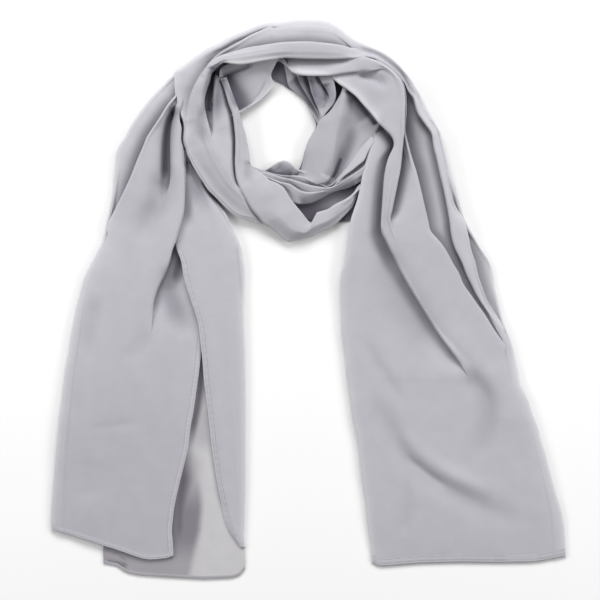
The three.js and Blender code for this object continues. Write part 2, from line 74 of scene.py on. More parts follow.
def pchip(x, y, xi):
    """Monotone cubic through the rows of y."""
    x = np.asarray(x, float)
    y = np.asarray(y, float)
    h = np.diff(x)
    dl = np.diff(y, axis=0) / h.reshape(-1, *([1] * (y.ndim - 1)))
    m = np.zeros_like(y)
    a, b = dl[:-1], dl[1:]
    w1 = (2 * h[1:] + h[:-1]).reshape(-1, *([1] * (y.ndim - 1)))
    w2 = (h[1:] + 2 * h[:-1]).reshape(-1, *([1] * (y.ndim - 1)))
    ok = (a * b) > 0
    den = np.where(ok, w1 / np.where(a == 0, 1, a) + w2 / np.where(b == 0, 1, b), 1)
    m[1:-1] = np.where(ok, (w1 + w2) / den, 0)
    m[0], m[-1] = dl[0], dl[-1]
    k = np.clip(np.searchsorted(x, xi, side="right") - 1, 0, len(x) - 2)
    t = ((xi - x[k]) / h[k]).reshape(-1, *([1] * (y.ndim - 1)))
    hk = h[k].reshape(t.shape)
    return ((2 * t**3 - 3 * t**2 + 1) * y[k] + (t**3 - 2 * t**2 + t) * hk * m[k]
            + (-2 * t**3 + 3 * t**2) * y[k + 1] + (t**3 - t**2) * hk * m[k + 1])


def catmull(x, y, xi):
    """Cardinal cubic through the rows of y."""
    x = np.asarray(x, float)
    y = np.asarray(y, float)
    m = np.gradient(y, x, axis=0)
    h = np.diff(x)
    k = np.clip(np.searchsorted(x, xi, side="right") - 1, 0, len(x) - 2)
    t = ((xi - x[k]) / h[k])[:, None]
    hk = h[k][:, None]
    return ((2 * t**3 - 3 * t**2 + 1) * y[k] + (t**3 - 2 * t**2 + t) * hk * m[k]
            + (-2 * t**3 + 3 * t**2) * y[k + 1] + (t**3 - t**2) * hk * m[k + 1])


def crossings(line, O, I):
    """Share of the way from O to I at which the line is crossed, NaN where it isn't."""
    L = dense(line, 1.0)
    out = np.full(len(O), np.nan)
    last = None
    for j in range(len(O)):
        d = I[j] - O[j]
        r = L - O[j]
        s = d[0] * r[:, 1] - d[1] * r[:, 0]
        k = np.nonzero((s[:-1] <= 0) != (s[1:] <= 0))[0]
        if not len(k):
            continue
        f = s[k] / (s[k] - s[k + 1])
        c = r[k] + (r[k + 1] - r[k]) * f[:, None]
        p = (c @ d) / (d @ d)
        good = (p > -0.06) & (p < 1.06)
        if not good.any():
            continue
        p = p[good]
        out[j] = p[0] if last is None else p[np.argmin(abs(p - last))]
        last = out[j]
    return out


def held(a, lo=None, hi=None):
    """Holds a line's share past its ends and fills gaps."""
    ok = np.nonzero(~np.isnan(a))[0]
    return np.interp(np.arange(len(a)), ok, a[ok])


def gauss(a, s):
    if s <= 0:
        return a
    n = int(3 * s) + 1
    k = np.exp(-0.5 * (np.arange(-n, n + 1) / s) ** 2)
    k /= k.sum()
    return np.convolve(np.pad(a, n, mode="reflect", reflect_type="odd"), k, mode="valid")


def smooth01(t):
    t = np.clip(t, 0, 1)
    return t * t * (3 - 2 * t)


class Sheet:
    """A stretch of cloth: stations from an outer to an inner rail, crossed by folds."""

    def __init__(self, name, rows, lines, zs, ds, step=1.5, cols=None, r0=3.0, r1=3.0,
                 rf=2.2, tuck=5.0, bulge=None, sm=2.0, gap=0.6, dip=0.0, reach=6.0, tones=0.75):
        # rows: (ox, oy, ix, iy) for each section
        # lines: outer edge, folds..., inner edge, each a polyline in plan
        # zs: heights at each line for each section; ds: signed drops at each fold
        self.name = name
        self.rows = np.asarray(rows, float)
        n = len(self.rows)
        mid = (self.rows[:, :2] + self.rows[:, 2:]) / 2
        wid = np.linalg.norm(self.rows[:, :2] - self.rows[:, 2:], axis=1)
        dist = np.maximum(np.linalg.norm(np.diff(self.rows[:, :2], axis=0), axis=1),
                          np.linalg.norm(np.diff(self.rows[:, 2:], axis=0), axis=1)) * UNIT
        self.s = np.concatenate([[0], np.cumsum(np.maximum(dist, 1.0))])
        m = max(8, int(self.s[-1] / step))
        self.si = np.linspace(0, self.s[-1], m + 1)
        R = catmull(self.s, self.rows, self.si)
        self.O, self.I = R[:, :2], R[:, 2:]
        W = np.linalg.norm(self.I - self.O, axis=1) * UNIT
        self.W = W
        F = len(lines)
        pos = np.zeros((F, m + 1))
        for k, ln in enumerate(lines):
            a = crossings(ln, self.O, self.I)
            if np.isnan(a).all():
                raise ValueError(f"{name}: line {k} is never crossed")
            pos[k] = gauss(held(a) * W, sm / step if step else 0)
        self.Z = pchip(self.s, np.asarray(zs, float), self.si)
        self.D = pchip(self.s, np.asarray(ds, float), self.si) if F > 2 else np.zeros((m + 1, 0))
        self.pos = pos
        self.F = F
        self.cols = cols or [10] * (F - 1)
        self.rf, self.tuck, self.gap = rf, tuck, gap
        bulge = bulge if bulge is not None else [0.0] * (F - 1)
        # dip: how far the cloth sinks beside a fold that stands over it; reach: how far out that goes
        # (each a number or rows of section and value)
        at = np.interp(self.si, self.s, np.arange(n))
        value = lambda v: np.interp(at, *np.array(v, float).T) if isinstance(v, (list, tuple)) else np.full(m + 1, float(v))
        self.r0, self.r1 = value(r0), value(r1)
        self.bulge = [value(v) for v in bulge]
        self.dip = [value(v) for v in dip] if isinstance(dip, (list, tuple)) else [value(dip)] * max(F - 2, 0)
        self.reach = [value(v) for v in reach] if isinstance(reach, (list, tuple)) else [value(reach)] * max(F - 2, 0)
        # tones: share of painted shade in the crease beside each fold
        self.tones = [value(v) for v in (tones if isinstance(tones, (list, tuple)) else [tones] * max(F - 2, 0))]

    def edge(self, p, z, r, sign, hem):
        """Columns of an edge, from its underside over the lip to its top; sign +1 opens inwards."""
        n = len(p)
        rv = np.minimum((z - self.gap) / 2, np.asarray(r) * 0.9)
        rv = np.maximum(rv, 0.2)
        rh = np.minimum(np.asarray(r) * np.ones(n), np.maximum(rv * 1.25, 0.5))
        X, Z = [], []
        # under the lip the cloth goes on inwards and down to the surface
        low = z - 2 * rv
        for t, share in ((self.tuck, 0.0), (self.tuck * 0.5, 0.55)):
            X.append(p + sign * (rh + t))
            Z.append(self.gap + (low - self.gap) * share)
        for th in np.radians(np.linspace(-90, 90, 8)):
            X.append(p + sign * rh * (1 - np.cos(th)))
            Z.append(z - rv + rv * np.sin(th))
        return np.array(X), np.array(Z)

    def fold(self, p, z, d, dip, slope):
        """Columns across a fold. d < 0 stands the outer side above, d > 0 the inner side."""
        n = len(p)
        a = abs(d) + dip
        f = smooth01(a / 2.0)
        rv = np.minimum(self.rf * 0.8, a * 0.42)
        rh = np.minimum(self.rf, rv * 1.3)
        t = np.minimum(self.tuck, 1.0 + a * 0.9)
        low = z - a
        rt = np.maximum((z - 2 * rv - low) / 2, 0.02)
        X, Z = [], []
        for th in np.radians(np.linspace(90, -90, 7)):
            X.append(-rh + rh * np.cos(th))
            Z.append(z - rv + rv * np.sin(th))
        for th in np.radians(np.linspace(90, -90, 4)):
            X.append(-t - np.minimum(rt, 1.5) * np.cos(th))
            Z.append(low + rt + rt * np.sin(th))
        X, Z = np.array(X), np.array(Z)
        w0 = 1.6
        flat = np.linspace(-w0, w0, S_COLS)[:, None] * np.ones(n)
        side = np.where(d > 0, -1.0, 1.0)
        X = flat * (1 - f) + X * f
        step = a * smooth01((flat / w0 + 1) / 2)
        Z = (z + slope * side * flat - step) * (1 - f) + Z * f
        # where the inner side is above, the fold is the mirror image
        up = d > 0
        X = np.where(up, -X[::-1], X)
        Z = np.where(up, Z[::-1], Z)
        return p + X, Z

    def build(self):
        """Grid of points (stations, columns, 3) in mm, z up."""
        blocks = []
        pos = self.pos
        dips = []
        for k in range(1, self.F - 1):
            a = abs(self.D[:, k - 1])
            dips.append(np.clip(np.minimum(self.dip[k - 1] * smooth01(a / 3.0), self.Z[:, k] - a - 1.0), 0, None))
        # heights just left and right of every line, and the slope across each line that isn't a fold
        ZL, ZR = self.Z.copy(), self.Z.copy()
        for k in range(1, self.F - 1):
            d = self.D[:, k - 1]
            ZL[:, k] -= np.where(d > 0, abs(d), 0)
            ZR[:, k] -= np.where(d < 0, abs(d), 0)
        span = [np.maximum(pos[k + 1] - pos[k], 5.0) for k in range(self.F - 1)]
        sec = [(ZL[:, k + 1] - ZR[:, k]) / span[k] for k in range(self.F - 1)]
        # slopes just left and right of every line; on a fold the side that stands above keeps its own slope
        ML, MR = [None] * self.F, [None] * self.F
        for k in range(1, self.F - 1):
            p, q = sec[k - 1], sec[k]
            m = (p * span[k] + q * span[k - 1]) / (span[k - 1] + span[k])
            most = np.where(p * q > 0, 2 * np.minimum(abs(p), abs(q)), 0) + np.minimum(0.03, 0.5 / np.maximum(span[k], span[k - 1]))
            m = np.clip(m, -most, most)
            f, d = smooth01(abs(self.D[:, k - 1]) / 2.0), self.D[:, k - 1]
            ML[k] = m * (1 - f) + np.clip(0.8 * p, -0.6, 0.6) * f * (d < 0)
            MR[k] = m * (1 - f) + np.clip(0.8 * q, -0.6, 0.6) * f * (d > 0)
        MR[0] = np.clip(1.3 * sec[0] - 0.3 * ML[1], -1, 1) if self.F > 2 else sec[0]
        ML[-1] = np.clip(1.3 * sec[-1] - 0.3 * MR[-2], -1, 1) if self.F > 2 else sec[0]
        eX, eZ = self.edge(pos[0], self.Z[:, 0], self.r0, +1, False)
        blocks.append((eX, eZ))
        for k in range(1, self.F - 1):
            blocks.append(self.fold(pos[k], self.Z[:, k], self.D[:, k - 1], dips[k - 1], ML[k] * (1 - smooth01(abs(self.D[:, k - 1]) / 2.0))))
        eX, eZ = self.edge(pos[-1], self.Z[:, -1], self.r1, -1, False)
        blocks.append((eX[::-1], eZ[::-1]))
        X, Z = [blocks[0][0]], [blocks[0][1]]
        tag = [np.full(len(blocks[0][0]), 0)]
        for k in range(1, self.F):
            xa, za = blocks[k - 1][0][-1], blocks[k - 1][1][-1]
            xb, zb = blocks[k][0][0], blocks[k][1][0]
            # the next block never starts before this one ends
            if k < self.F - 1:
                short = np.maximum(0, xa + 0.4 - xb)
                blocks[k] = (blocks[k][0] + short, blocks[k][1])
                xb = blocks[k][0][0]
            n = self.cols[k - 1]
            t = (np.arange(1, n + 1) / (n + 1))[:, None]
            wid = np.maximum(xb - xa, 0)
            b = self.bulge[k - 1] * smooth01(wid / 12.0)
            x = xa + (xb - xa) * t
            da = dips[k - 2] * (self.D[:, k - 2] < 0) if k > 1 else 0.0 * wid
            db = dips[k - 1] * (self.D[:, k - 1] > 0) if k < self.F - 1 else 0.0 * wid
            rl = np.minimum(self.reach[k - 2] if k > 1 else 1.0, wid / 2.0 + 0.5)
            rr = np.minimum(self.reach[k - 1] if k < self.F - 1 else 1.0, wid / 2.0 + 0.5)
            h00, h01 = 2 * t**3 - 3 * t**2 + 1, -2 * t**3 + 3 * t**2
            h10, h11 = t**3 - 2 * t**2 + t, t**3 - t**2
            z = h00 * (za + da) + h01 * (zb + db) + h10 * wid * MR[k - 1] + h11 * wid * ML[k]
            z = z + b * 16 * t**2 * (1 - t) ** 2
            z = z - da * np.exp(-((np.maximum(x - pos[k - 1], 0) / rl) ** 1.5))
            z = z - db * np.exp(-((np.maximum(pos[k] - x, 0) / rr) ** 1.5))
            X.append(x)
            Z.append(z)
            X.append(blocks[k][0])
            Z.append(blocks[k][1])
        X, Z = np.vstack(X).T, np.vstack(Z).T
        self.X = X
        # painted shade beside each fold, 0 to 1, by how deep in the fold each point lies
        self.tone = np.zeros_like(X)
        for k in range(1, self.F - 1):
            a = np.maximum(abs(self.D[:, k - 1]) + dips[k - 1], 0.01)[:, None]
            side = np.where(self.D[:, k - 1] > 0, -1.0, 1.0)[:, None]
            dist = (X - pos[k][:, None]) * side
            r = (0.75 * self.reach[k - 1])[:, None]
            w = np.exp(-((np.maximum(dist, 0) / r) ** 1.5)) * (dist > -9)
            w = w * smooth01(((self.Z[:, k][:, None] - Z) / a - 0.35) / 0.4)
            self.tone = np.maximum(self.tone, w * self.tones[k - 1][:, None] * np.clip(a / 15.0, 0, 1))
        d = (self.I - self.O)
        d = d / np.linalg.norm(d, axis=1)[:, None]
        px = self.O[:, None, 0] + X / UNIT * d[:, None, 0]
        py = self.O[:, None, 1] + X / UNIT * d[:, None, 1]
        G = np.stack([px, py, Z], axis=2)   # plan units, plan units, mm
        return G


def near(P, line, step=1.0):
    """Signed distance (mm) to a polyline and share along it, for plan points P (n,2)."""
    L = dense(line, step)
    seg = np.diff(L, axis=0)
    ln = np.maximum(np.linalg.norm(seg, axis=1), 1e-9)
    cum = np.concatenate([[0], np.cumsum(ln)])
    best = np.full(len(P), 1e9)
    sgn = np.zeros(len(P))
    share = np.zeros(len(P))
    over = np.zeros(len(P))
    for k in range(len(seg)):
        r = P - L[k]
        t = (r @ seg[k]) / ln[k] ** 2
        tc = np.clip(t, 0, 1)
        q = r - tc[:, None] * seg[k]
        dd = np.hypot(q[:, 0], q[:, 1])
        m = dd < best
        best[m] = dd[m]
        sgn[m] = np.sign(seg[k][0] * r[m, 1] - seg[k][1] * r[m, 0])
        share[m] = (cum[k] + tc[m] * ln[k]) / cum[-1]
    return best * sgn * UNIT, share


def crease(P, line, depth, wl, wr=None, fade=(0.15, 0.15)):
    """Height change of a soft trough (depth < 0) or ridge: wl and wr are its half widths to the two sides, in mm."""
    wr = wl if wr is None else wr
    L = np.asarray(line, float)
    pad = 4 * max(wl, wr) / UNIT
    box = ((P[:, 0] > L[:, 0].min() - pad) & (P[:, 0] < L[:, 0].max() + pad)
           & (P[:, 1] > L[:, 1].min() - pad) & (P[:, 1] < L[:, 1].max() + pad))
    out = np.zeros(len(P))
    if not box.any():
        return out
    d, s = near(P[box], line, 3.0)
    w = np.where(d > 0, wl, wr)
    e = np.exp(-0.5 * (d / w) ** 2)
    f = smooth01(s / max(fade[0], 1e-6)) * smooth01((1 - s) / max(fade[1], 1e-6))
    out[box] = depth * e * f
    return out


# ---------------------------------------------------------------- outer pass
OUT_E = [(283,231),(275,227),(268,225.5),(264,224.5),(260,223.5),(250,220),(240,218),(236,216),(233,214),(227,209),(220,202),(213,195),
 (208,190),(203,182),(197,173),(193,166),(190,160),(187,155),(186,150),(184,146),(183,140),(183.5,134),(184,128),(183.5,123),
 (181,116),(178.5,108),(177,100),(175.5,95),(175,90),(174.5,80),(175,72),(180,69),(190,61),(200,54),(209,48),(220,43),(230,37),
 (240,33),(250,29),(260,25),(270,23),(280,22.5),(290,21),(300,20),(310,20),(320,20.5),(330,23),(340,29),(345,33),(350,37),
 (354,40),(360,42.5),(370,47),(380,51),(390,57),(400,66),(405,72),(410,78),(415,87),(420,95),(430,115),(440,132),(442,138),
 (445,150),(450,170),(455,187),(460,205),(463,216),(465,221),(470,230),(475,238),(480,247),(487,257),(491,266),(493,276),
 (494,285),(497,297),(500,310),(502,319),(511,342),(516,364),(519,382),(523,390),(528,400),(531,410),(537,425),(540,437),
 (545,453),(550,472),(554,487),(558,500),(562,515),(564,530),(565,545),(566,556),(567,566)]
OUT_F = [(272,223),(262,220),(250,216.5),(237,212),(229,206),(216,192.5),(206,179.5),(197,165),(191,154),(188,146),(186.5,140),
 (186,134),(186,124),(187,114),(188.5,105),(191,95),(196,84),(205,70),(211,62),(215,58),(222,52.5),(230,48),(240,42.5),(250,36.5),(260,32),(270,27.8),(279,28),(292,29),(310,30),(330,32),
 (350,41),(370,49),(390,59.5),(402,70),(409,83),(417,98),(425,114),(434,130),(438,145),(444,168),(450,190),(456,208),(463,219),
 (468,235),(471,250),(475,262),(478,275),(483,290),(487,300),(494,312),(501,322),(508,338),(514,354),(518,370),(521,385),(525,400),(530,418),(538,443),(547,472),(555,500),(560,530),(561,560)]
OUT_C1 = [(274,218),(263,212),(252,207),(240,201),(228,190),(217,175),(208,160),(202,143),(199,125),(197,108),(199,90),(204,75),
 (210,65),(216,59.5),(222,56.5),(230,54),(240,51),(250,48.5),(260,47),(270,45.5),(280,44),(290,43.3),(300,43),(310,43),(320,44),
 (330,45),(340,46.5),(350,49),(360,50),(370,52),(380,56),(390,62),(400,70),(404,76),(408,85),(412,98),(416,113),(422,122),
 (428,130),(431,135),(433,148),(436,160),(440,178),(443,190),(446,205),(449,222),(451,237),(455,250),(461,262),
 (466,275),(471,285),(477,297),(487,312),(497,328),(505,342),(513,357),(517.5,372),(519.5,385),(522,400),(527,420),(533,445),(539,472),(545,500),(549,530),(551,562)]
OUT_B = [(275,216),(264,209),(253,203),(242,195),(230,183),(220,167),(212,152),(206,138),(203,120),(201,105),(202,90),(206,76),
 (211,68),(217,61.5),(223,59.5),(240,57),(260,54),(280,51.5),(300,51),(320,51.5),(340,53),(355,54.5),(370,57),(382,61),(393,68),
 (401,77),(405,90),(406.5,105),(406,118),(405,130),(408,145),(412,160),(416,172),(420,188),(424,205),(428,222),(430,231),
 (436,238),(442,245),(447,253),(453,264),(459,274),(463,284),(470,294),(477,304),(485,315),(494,330),(500,338.5),(508,351),(513.5,362),(516,372),(517.5,385),(518,400),(521,420),(526,445),(531,472),(536,500),(540,530),(542,562)]
OUT_C2 = [(276,214),(265,206),(254,199),(243,190),(232,178),(224,162),(217,150),(213,140),(210,128),(207.5,119),(206,112),(205,105),(205.5,98),
 (207,92),(210,84),(211.5,78),(212.5,72),(215,67),(218,64.5),(221,63.6),(230,65),(240,66),(252,64.5),(262,62.5),
 (275,60.5),(285,59.3),(300,60),(320,60.5),(340,60.5),(350,60),(360,59.5),(368,59.5),(375,61.5),(382,65),(390,70.5),(396,76),
 (400,81),(403,88),(404.5,100),(404.5,110),(404,120),(404,130),(403,140),(402,150),(400,170),(398,180),(396,190),(394,200),
 (392,210),(390,220),(394,234),(402,250),(412,270),(424,295),(437,318),(452,336),(468,352),(481,368),(490,392),(494,415),
 (496,440),(497,472),(496,500),(494,530),(493,562)]
OUT_C3 = [(277,212),(266,203),(256,195),(246,186),(237,175),(229,160),(222,148),(218,140),(214.5,127),(213,118),(213,110),(213.4,104),(213.6,96),(214,88),(214.4,80),(215,74),
 (216,69.5),(219,66),(224,62),(235,60),(250,59),(265,57.5),(278,57),(284,61),(287,67),(291,72.5),(296,75),(303,76.5),(310,77),(320,77),
 (328,76.8),(335,76),(345,74.5),(355,73.5),(367,73.5),(375,72),(382,70.5),(389,76),(394,90),(397,110),(398,130),(396,150),
 (393,170),(390,190),(387,210),(386,224),(391,240),(398,254),(407,272),(418,293),(430,314),(443,332),(460,350),(472,366),
 (480,392),(483,415),(484,440),(484,472),(482,500),(480,530),(478,562)]
OUT_A = [(282,205),(274,212),(268,214),(262,211),(256,204),(250,196),(245,188),(241,180),(239,172),(238,162),(237,150),(236.5,140),
 (234.5,128),(233.5,120),(232,113),(229,105),(227,98),(224,88),(221,79.5),(221,69),(226,62.5),(238,61),(252,60),(266,58.5),(278,58.5),(288,64),
 (298,71),(310,74),(320,75),(328,77.5),(333,80),(340,86),(345,89),(350,93),(356,98),(362,105),(370,114),(378,124),(385,131),
 (390,136),(393,142),(393.3,147),(391.5,151),(388,158),(386,165),(384,175),(383,185),(382,200),(381,215),(381,231),(386,242),
 (391,252),(396,262),(400,271),(405,280),(412,292),(420,305),(428,318),(436,331),(443,341),(450,350),(457,359.5),(463,369),(468,379),
 (471,392),(472,415),(472,440),(471,472),(468,500),(466,530),(464,562)]
OUT_I = [(284,201),(277,207),(270,210),(264,207),(258,200),(252,192),(248,185),(244,176),(242,165),(241,150),(240.5,138),(238.5,127),
 (237,118),(234,108),(230.5,98),(227,88),(223,80),(222.5,71),(228,63.5),(240,62),(252,61),(266,59.5),(277,60),(287,67),
 (298,71),(310,72.5),(320,73.5),(328,75.5),(334,78),(342,84),(349,88.5),(355,93),(362,100),(369,108),(375.5,117),(378,126),(373,135),
 (370,145),(367,155),(365,163),(362,175),(360,187),(357,200),(353,212),(350,222),(348,235),(346,250),(344,262),(341,272),
 (340,285),(340.5,300),(341,315),(341.5,330),(343,342),(345,355),(346,370),(348,385),(350,400),(352,415),(355,430),(358,445),
 (360,465),(362,480),(365,500),(367,520),(369,535),(371,550),(372,566)]
# section: outer plan point, inner plan point, heights E F C1 B C2 C3 A I, drops F C1 B C2 C3 A
OUT_T = [
 (271,233, 279,211,  9,10,11.5,12.5,12.5,12,10,8,   0,0,0,0,0,0),
 (257,227, 268,202,  9,10.5,14,15.5,15.5,14,11.7,9.7,   0,0,0,0,0,0),
 (243,223, 261,189, 10,11.5,15.5,17,17.5,15.2,13.4,11,  0,0,0,0,0,0),
 (230,218, 254,178, 10.5,12,16.5,18.5,19,16.2,14,11.5,  0,0,0,0,0,0),
 (217,206, 249,166, 11,12.5,17.5,20,20.5,18,14.6,11.5,  0,0,0,0,0,0),
 (205,192, 247,153, 11.5,13,18.3,20.8,21.5,19.5,14.5,11,  0,0,0,0,0,0),
 (194,176, 245,140, 12,13.5,19,21.5,22,20,13.5,10.5,  0,0,0,0,0,0),
 (184,158, 244,128, 12,14,19.5,22,22.3,21,12.5,10,  0,0,0,0,0,0),
 (176,138, 242,116, 12,14.5,21.5,22.5,22,21,13,11,  0,0,0,-3,.5,0),
 (171,118, 238,106, 12.5,15.5,22,23,22.5,20.5,13,11,  1,0,0,-9,5,0),
 (167,98,  233,96,  13.5,18.5,24,25,24,20,13,10,  2,0,0,-14,10,0),
 (165,81,  229,87,  15,21,26,27.5,26,18,12,9,   3,0,0,-15,10,0),
 (168,65,  226,81,  15,21,26,28,27,16,11,8,   4,1,0,-16,7,0),
 (182,55,  226,78,  15,21,26,28,27,12,9,7,    5,2,0,-17,3,0),
 (197,47,  229,75,  15,21,26,28,27,10,8,7,    6,3,0,-17,0,0),
 (213,39,  236,73,  14,21,26,28,27,9,8,7,     7,5,0,-17,0,0),
 (232,29,  247,72,  13,21,26,28,26,8,8,7,     7,6,0,-16,0,0),
 (252,21,  260,71,  12,20,26,27,25,8,8,7,     6,6.5,0,-15,0,0),
 (274,15,  278,76,  14,17,27,27,24.5,9,8,7,     .5,7,0,-15,0,0),
 (300,11,  300,86,  15,19,28,27.5,25.5,18,8,7,    0,7,0,-8,-10,0),
 (321,12,  322,88,  15,19,28,27.5,25.5,19,9,8,    0,7,0,-7,-9,0),
 (339,19,  337,93,  15,19,27,27,26,22,18,8,   0,7,0,-4,-3.5,-10),
 (356,30,  347,103, 14,18,24,25,26.5,25,22,9,   0,5,0,-1,-4,-13),
 (374,38,  357,113, 13,17,22,24,28,27,24,9,   0,3,0,1.5,-4,-15),
 (392,47,  365,122, 12,16.5,21,22,30,28.5,26,9,   0,1,0,6,-1,-17),
 (409,61,  370,131, 12,16,20,20,30,28,26,9,   0,0,1,10,0,-17),
 (425,83,  366,142, 12,16,19.5,17,29,27,25,12,  0,-3,3,11,0,-14),
 (439,108, 359,157, 12,16,19.5,17,28,26,25,15,  0,-5,6,10,0,-10),
 (451,134, 352,176, 11,15.5,19,20,26,25,25,15,  0,-6,8,9,0,-8),
 (460,160, 346,196, 11,14.5,18.5,21,25,23,24,14,  0,-6,9,8,0,-7),
 (467,186, 342,216, 10,13,18,20.5,23,21,22,13,  1,-6,8,5,0,-7),
 (474,211, 338,236,  7,12,17,19,20,19,20,12,   4,-6,7,.6,0,-7),
 (483,235, 335,256,  5,11,16,18,18,18,18,11,   6,-7,6,0,0,-7),
 (494,261, 332,278,  4.5,10,15,15.5,16,16,16.5,9.5,   6.5,-6,4,0,0,-6),
 (504,289, 331,302,  4,8,12,13,14,14,15,8,     4,-2.5,3,0,0,-5.5),
 (514,317, 331,328,  4,6,9.5,11,12,12,13,7,   1.5,-.5,2.6,0,0,-5),
 (526,350, 332,354,  4,4.5,6.5,9,10,10,11.6,6.8,     0,0,.7,0,0,-3.5),
 (536,380, 334,382,  5,5.5,6,7,8,8.3,8.3,6.2, 0,0,0,0,0,0),
 (550,420, 338,421,  5,6,6.5,6.8,7.2,7.4,7.4,6,     0,0,0,0,0,0),
 (563,460, 345,461,  5,6,6,6,6.5,6.5,6.5,5.5, 0,0,0,0,0,0),
 (574,500, 351,501,  4.5,5,5.5,5.5,6,6,6,5,   0,0,0,0,0,0),
 (579,530, 355,534,  3.5,4,4.5,4.5,5,5,5,4,   0,0,0,0,0,0),
 (581,546, 357,552,  3,3.2,3.5,3.5,3.8,3.8,3.8,3,  0,0,0,0,0,0),
 (582,557, 358,563.5, 2.4,2.4,2.4,2.4,2.4,2.4,2.4,2.4,  0,0,0,0,0,0),
]

def make_out(step=1.5, cols=(7, 9, 8, 9, 12, 9, 64)):
    T = np.array(OUT_T, float)
    return Sheet("outer", T[:, :4], [OUT_E, OUT_F, OUT_C1, OUT_B, OUT_C2, OUT_C3, OUT_A, OUT_I], T[:, 4:12], T[:, 12:18],
                 step=step, cols=list(cols), r0=[(0, 2.6), (9, 2.6), (12, 6), (24, 7), (26, 3.5), (33, 3.5), (37, 6), (43, 6)], r1=4.0, rf=2.4, tuck=6.0,
                 bulge=[0, [(0, 0), (9, 0), (12, 1.5), (43, 1)], 0, 0, 0, 0, 0], sm=2.0,
                 tones=[0.5, 0.5, 0.7, [(0, 0.75), (12, 0.75), (20, 0.5), (43, 0.7)], 0.5,
                        [(0, 0.45), (31, 0.45), (33, 0.28), (43, 0.2)]],
                 dip=[3, [(0, 3), (22, 3), (27, 4), (43, 4)], [(0, 4), (24, 4), (27, 8), (31, 4), (43, 2)], [(0, 6), (24, 4), (29, 8), (43, 3)],
                      [(0, 6), (16, 3), (20, 1), (43, 1)], [(0, 3), (25, 3), (28, 11), (32, 9), (34, 5), (37, 3), (43, 2)]],
                 reach=[[(0, 5), (18, 5), (20, 7), (30, 8), (43, 8)], [(0, 9), (20, 9), (25, 5), (43, 6)], [(0, 6), (25, 12), (29, 9), (33, 6), (43, 6)],
                        [(0, 5), (24, 5), (29, 8), (43, 8)], 5, [(0, 6), (27, 6), (31, 8), (33, 16), (36, 22), (43, 22)]])

# ---------------------------------------------------------------- left tail, main panel
LT_E = [(180,66),(175,72),(174,75),(170,78),(160,88.5),(150,99),(140,112),(130,127),(125,137),(120,144),(117,151),(116,160),(115,170),
 (114,185),(112,200),(110,210),(107,222),(105,232),(103,240),(97,252),(90,266),(84,278),(81,290),(77,305),(74,320),(71,335),
 (69,350),(66,365),(64,380),(61.5,400),(59,420),(57.5,435),(56,450),(55,465),(53.5,480),(52.5,495),(51.5,510),(51,522),(51.5,527),(51.5,532)]
LT_M = [(184,78),(180,87),(176,95),(168,105),(160,118),(152,130),(147,138),(143,148),(137,162),(131,177),(125,190),(120,200),(114,212),
 (109,222),(107,231),(106,240),(102,252),(96,266),(91,280),(88,295),(85,320),(81,350),(77,380),(73,420),(70,460),(68,500),(68,540)]
LT_V = [(188,82),(183,92),(178.5,104),(175.5,113),(172.5,122),(171,132),(170.5,145),(170.8,160),(170.8,172),(170,183),(166,196),(158,214),(150,228),
 (143,242),(136,262),(131,285),(128,310),(126,340),(124,380),(121,420),(118,460),(115,500),(113,550)]
LT_N = [(192,86),(186,95),(181,104),(180,120),(182,128),(181.5,140),(184,150),(185,170),(185,200),(184.5,210),(183,218),(180,230),
 (177,240),(173,250),(170,262),(165,275),(160,285),(156,295),(154,303),(153,315),(152,335),(152,360),(152,390),(150,420),(147,460),
 (144,500),(142,556)]
LT_H = [(198,92),(196,102),(194,115),(194,140),(195,170),(196,200),(197,230),(199,262),(202,290),(203.5,310),(203.5,328),(202,345),(200,365),(198,380),
 (195,402),(193,415),(191,425),(188,450),(185,462),(181,478),(177,495),(174,510),(173,520),(172,530),(173,542),(173.5,553),(174,562)]
# heights E M V N H, drops M V N
LT_T = [
 (168,66, 204,100,   6,11,12,13,6,   2,2,-2),
 (160,78, 205,112,   6,12,13,14,6,   3,3,-5),
 (146,92, 206,124,   6.5,14,14.5,15,5,   4.5,4,-8),
 (131,110, 206,138,  7,14.5,15,15,5,   6,4.5,-9),
 (118,131, 207,150,  7,14.5,15,15,5,   6.5,4.5,-9),
 (109,150, 208,164,  7,14.5,15,15,5,   6.5,4.5,-9),
 (106,170, 209,178,  7,14,14.5,15,5, 6,4,-9),
 (103,190, 209,196,  6,12.5,13,14.5,5, 5,1.5,-9),
 (100,210, 210,214,  5.5,9.5,11,14,5,   3,0,-9),
 (96,230, 211,233,   5.5,7.5,10,13.5,5,  .8,0,-8.5),
 (90,250, 212,252,   6,7,9.5,12.5,4.5, 0,0,-8),
 (80,272, 214,273,   6,7.5,9.5,11.5,4.5,  0,0,-7.5),
 (73,295, 215,295,   6,7.8,9,10,4.5,   0,0,-4),
 (67,320, 216,320,   6,7.5,8,8,4.5,   0,0,-1),
 (61,350, 216,350,   6,7,7.5,7,5,     0,0,0),
 (54,390, 214,390,   6,7,7.5,7,6,     0,0,0),
 (49,430, 208,430,   5.5,6.5,7,7,6.5, 0,0,0),
 (46,470, 200,472,   5,6,6.5,6.5,6.5, 0,0,0),
 (44,500, 190,512,   4.5,5.5,6,6,6,   0,0,0),
 (43,515, 186,535,   4,5,5.5,5.5,5.5, 0,0,0),
 (43,527.5, 186,557, 3.2,4.4,4.6,4.6,4.6, 0,0,0),
]

def make_lt(step=1.6, cols=(20, 34, 22, 22)):
    T = np.array(LT_T, float)
    return Sheet("left_main", T[:, :4], [LT_E, LT_M, LT_V, LT_N, LT_H], T[:, 4:9], T[:, 9:12], step=step, cols=list(cols),
                 r0=4.0, r1=1.0, rf=2.4, tuck=6.0, bulge=[1.5, 1, 0, 0], sm=2.5,
                 dip=[3.5, [(0, 3), (2, 9), (7, 9), (8, 5)], 4], reach=[11, [(0, 6), (2, 10), (7, 15), (20, 15)], [(0, 7), (9, 10), (20, 12)]])

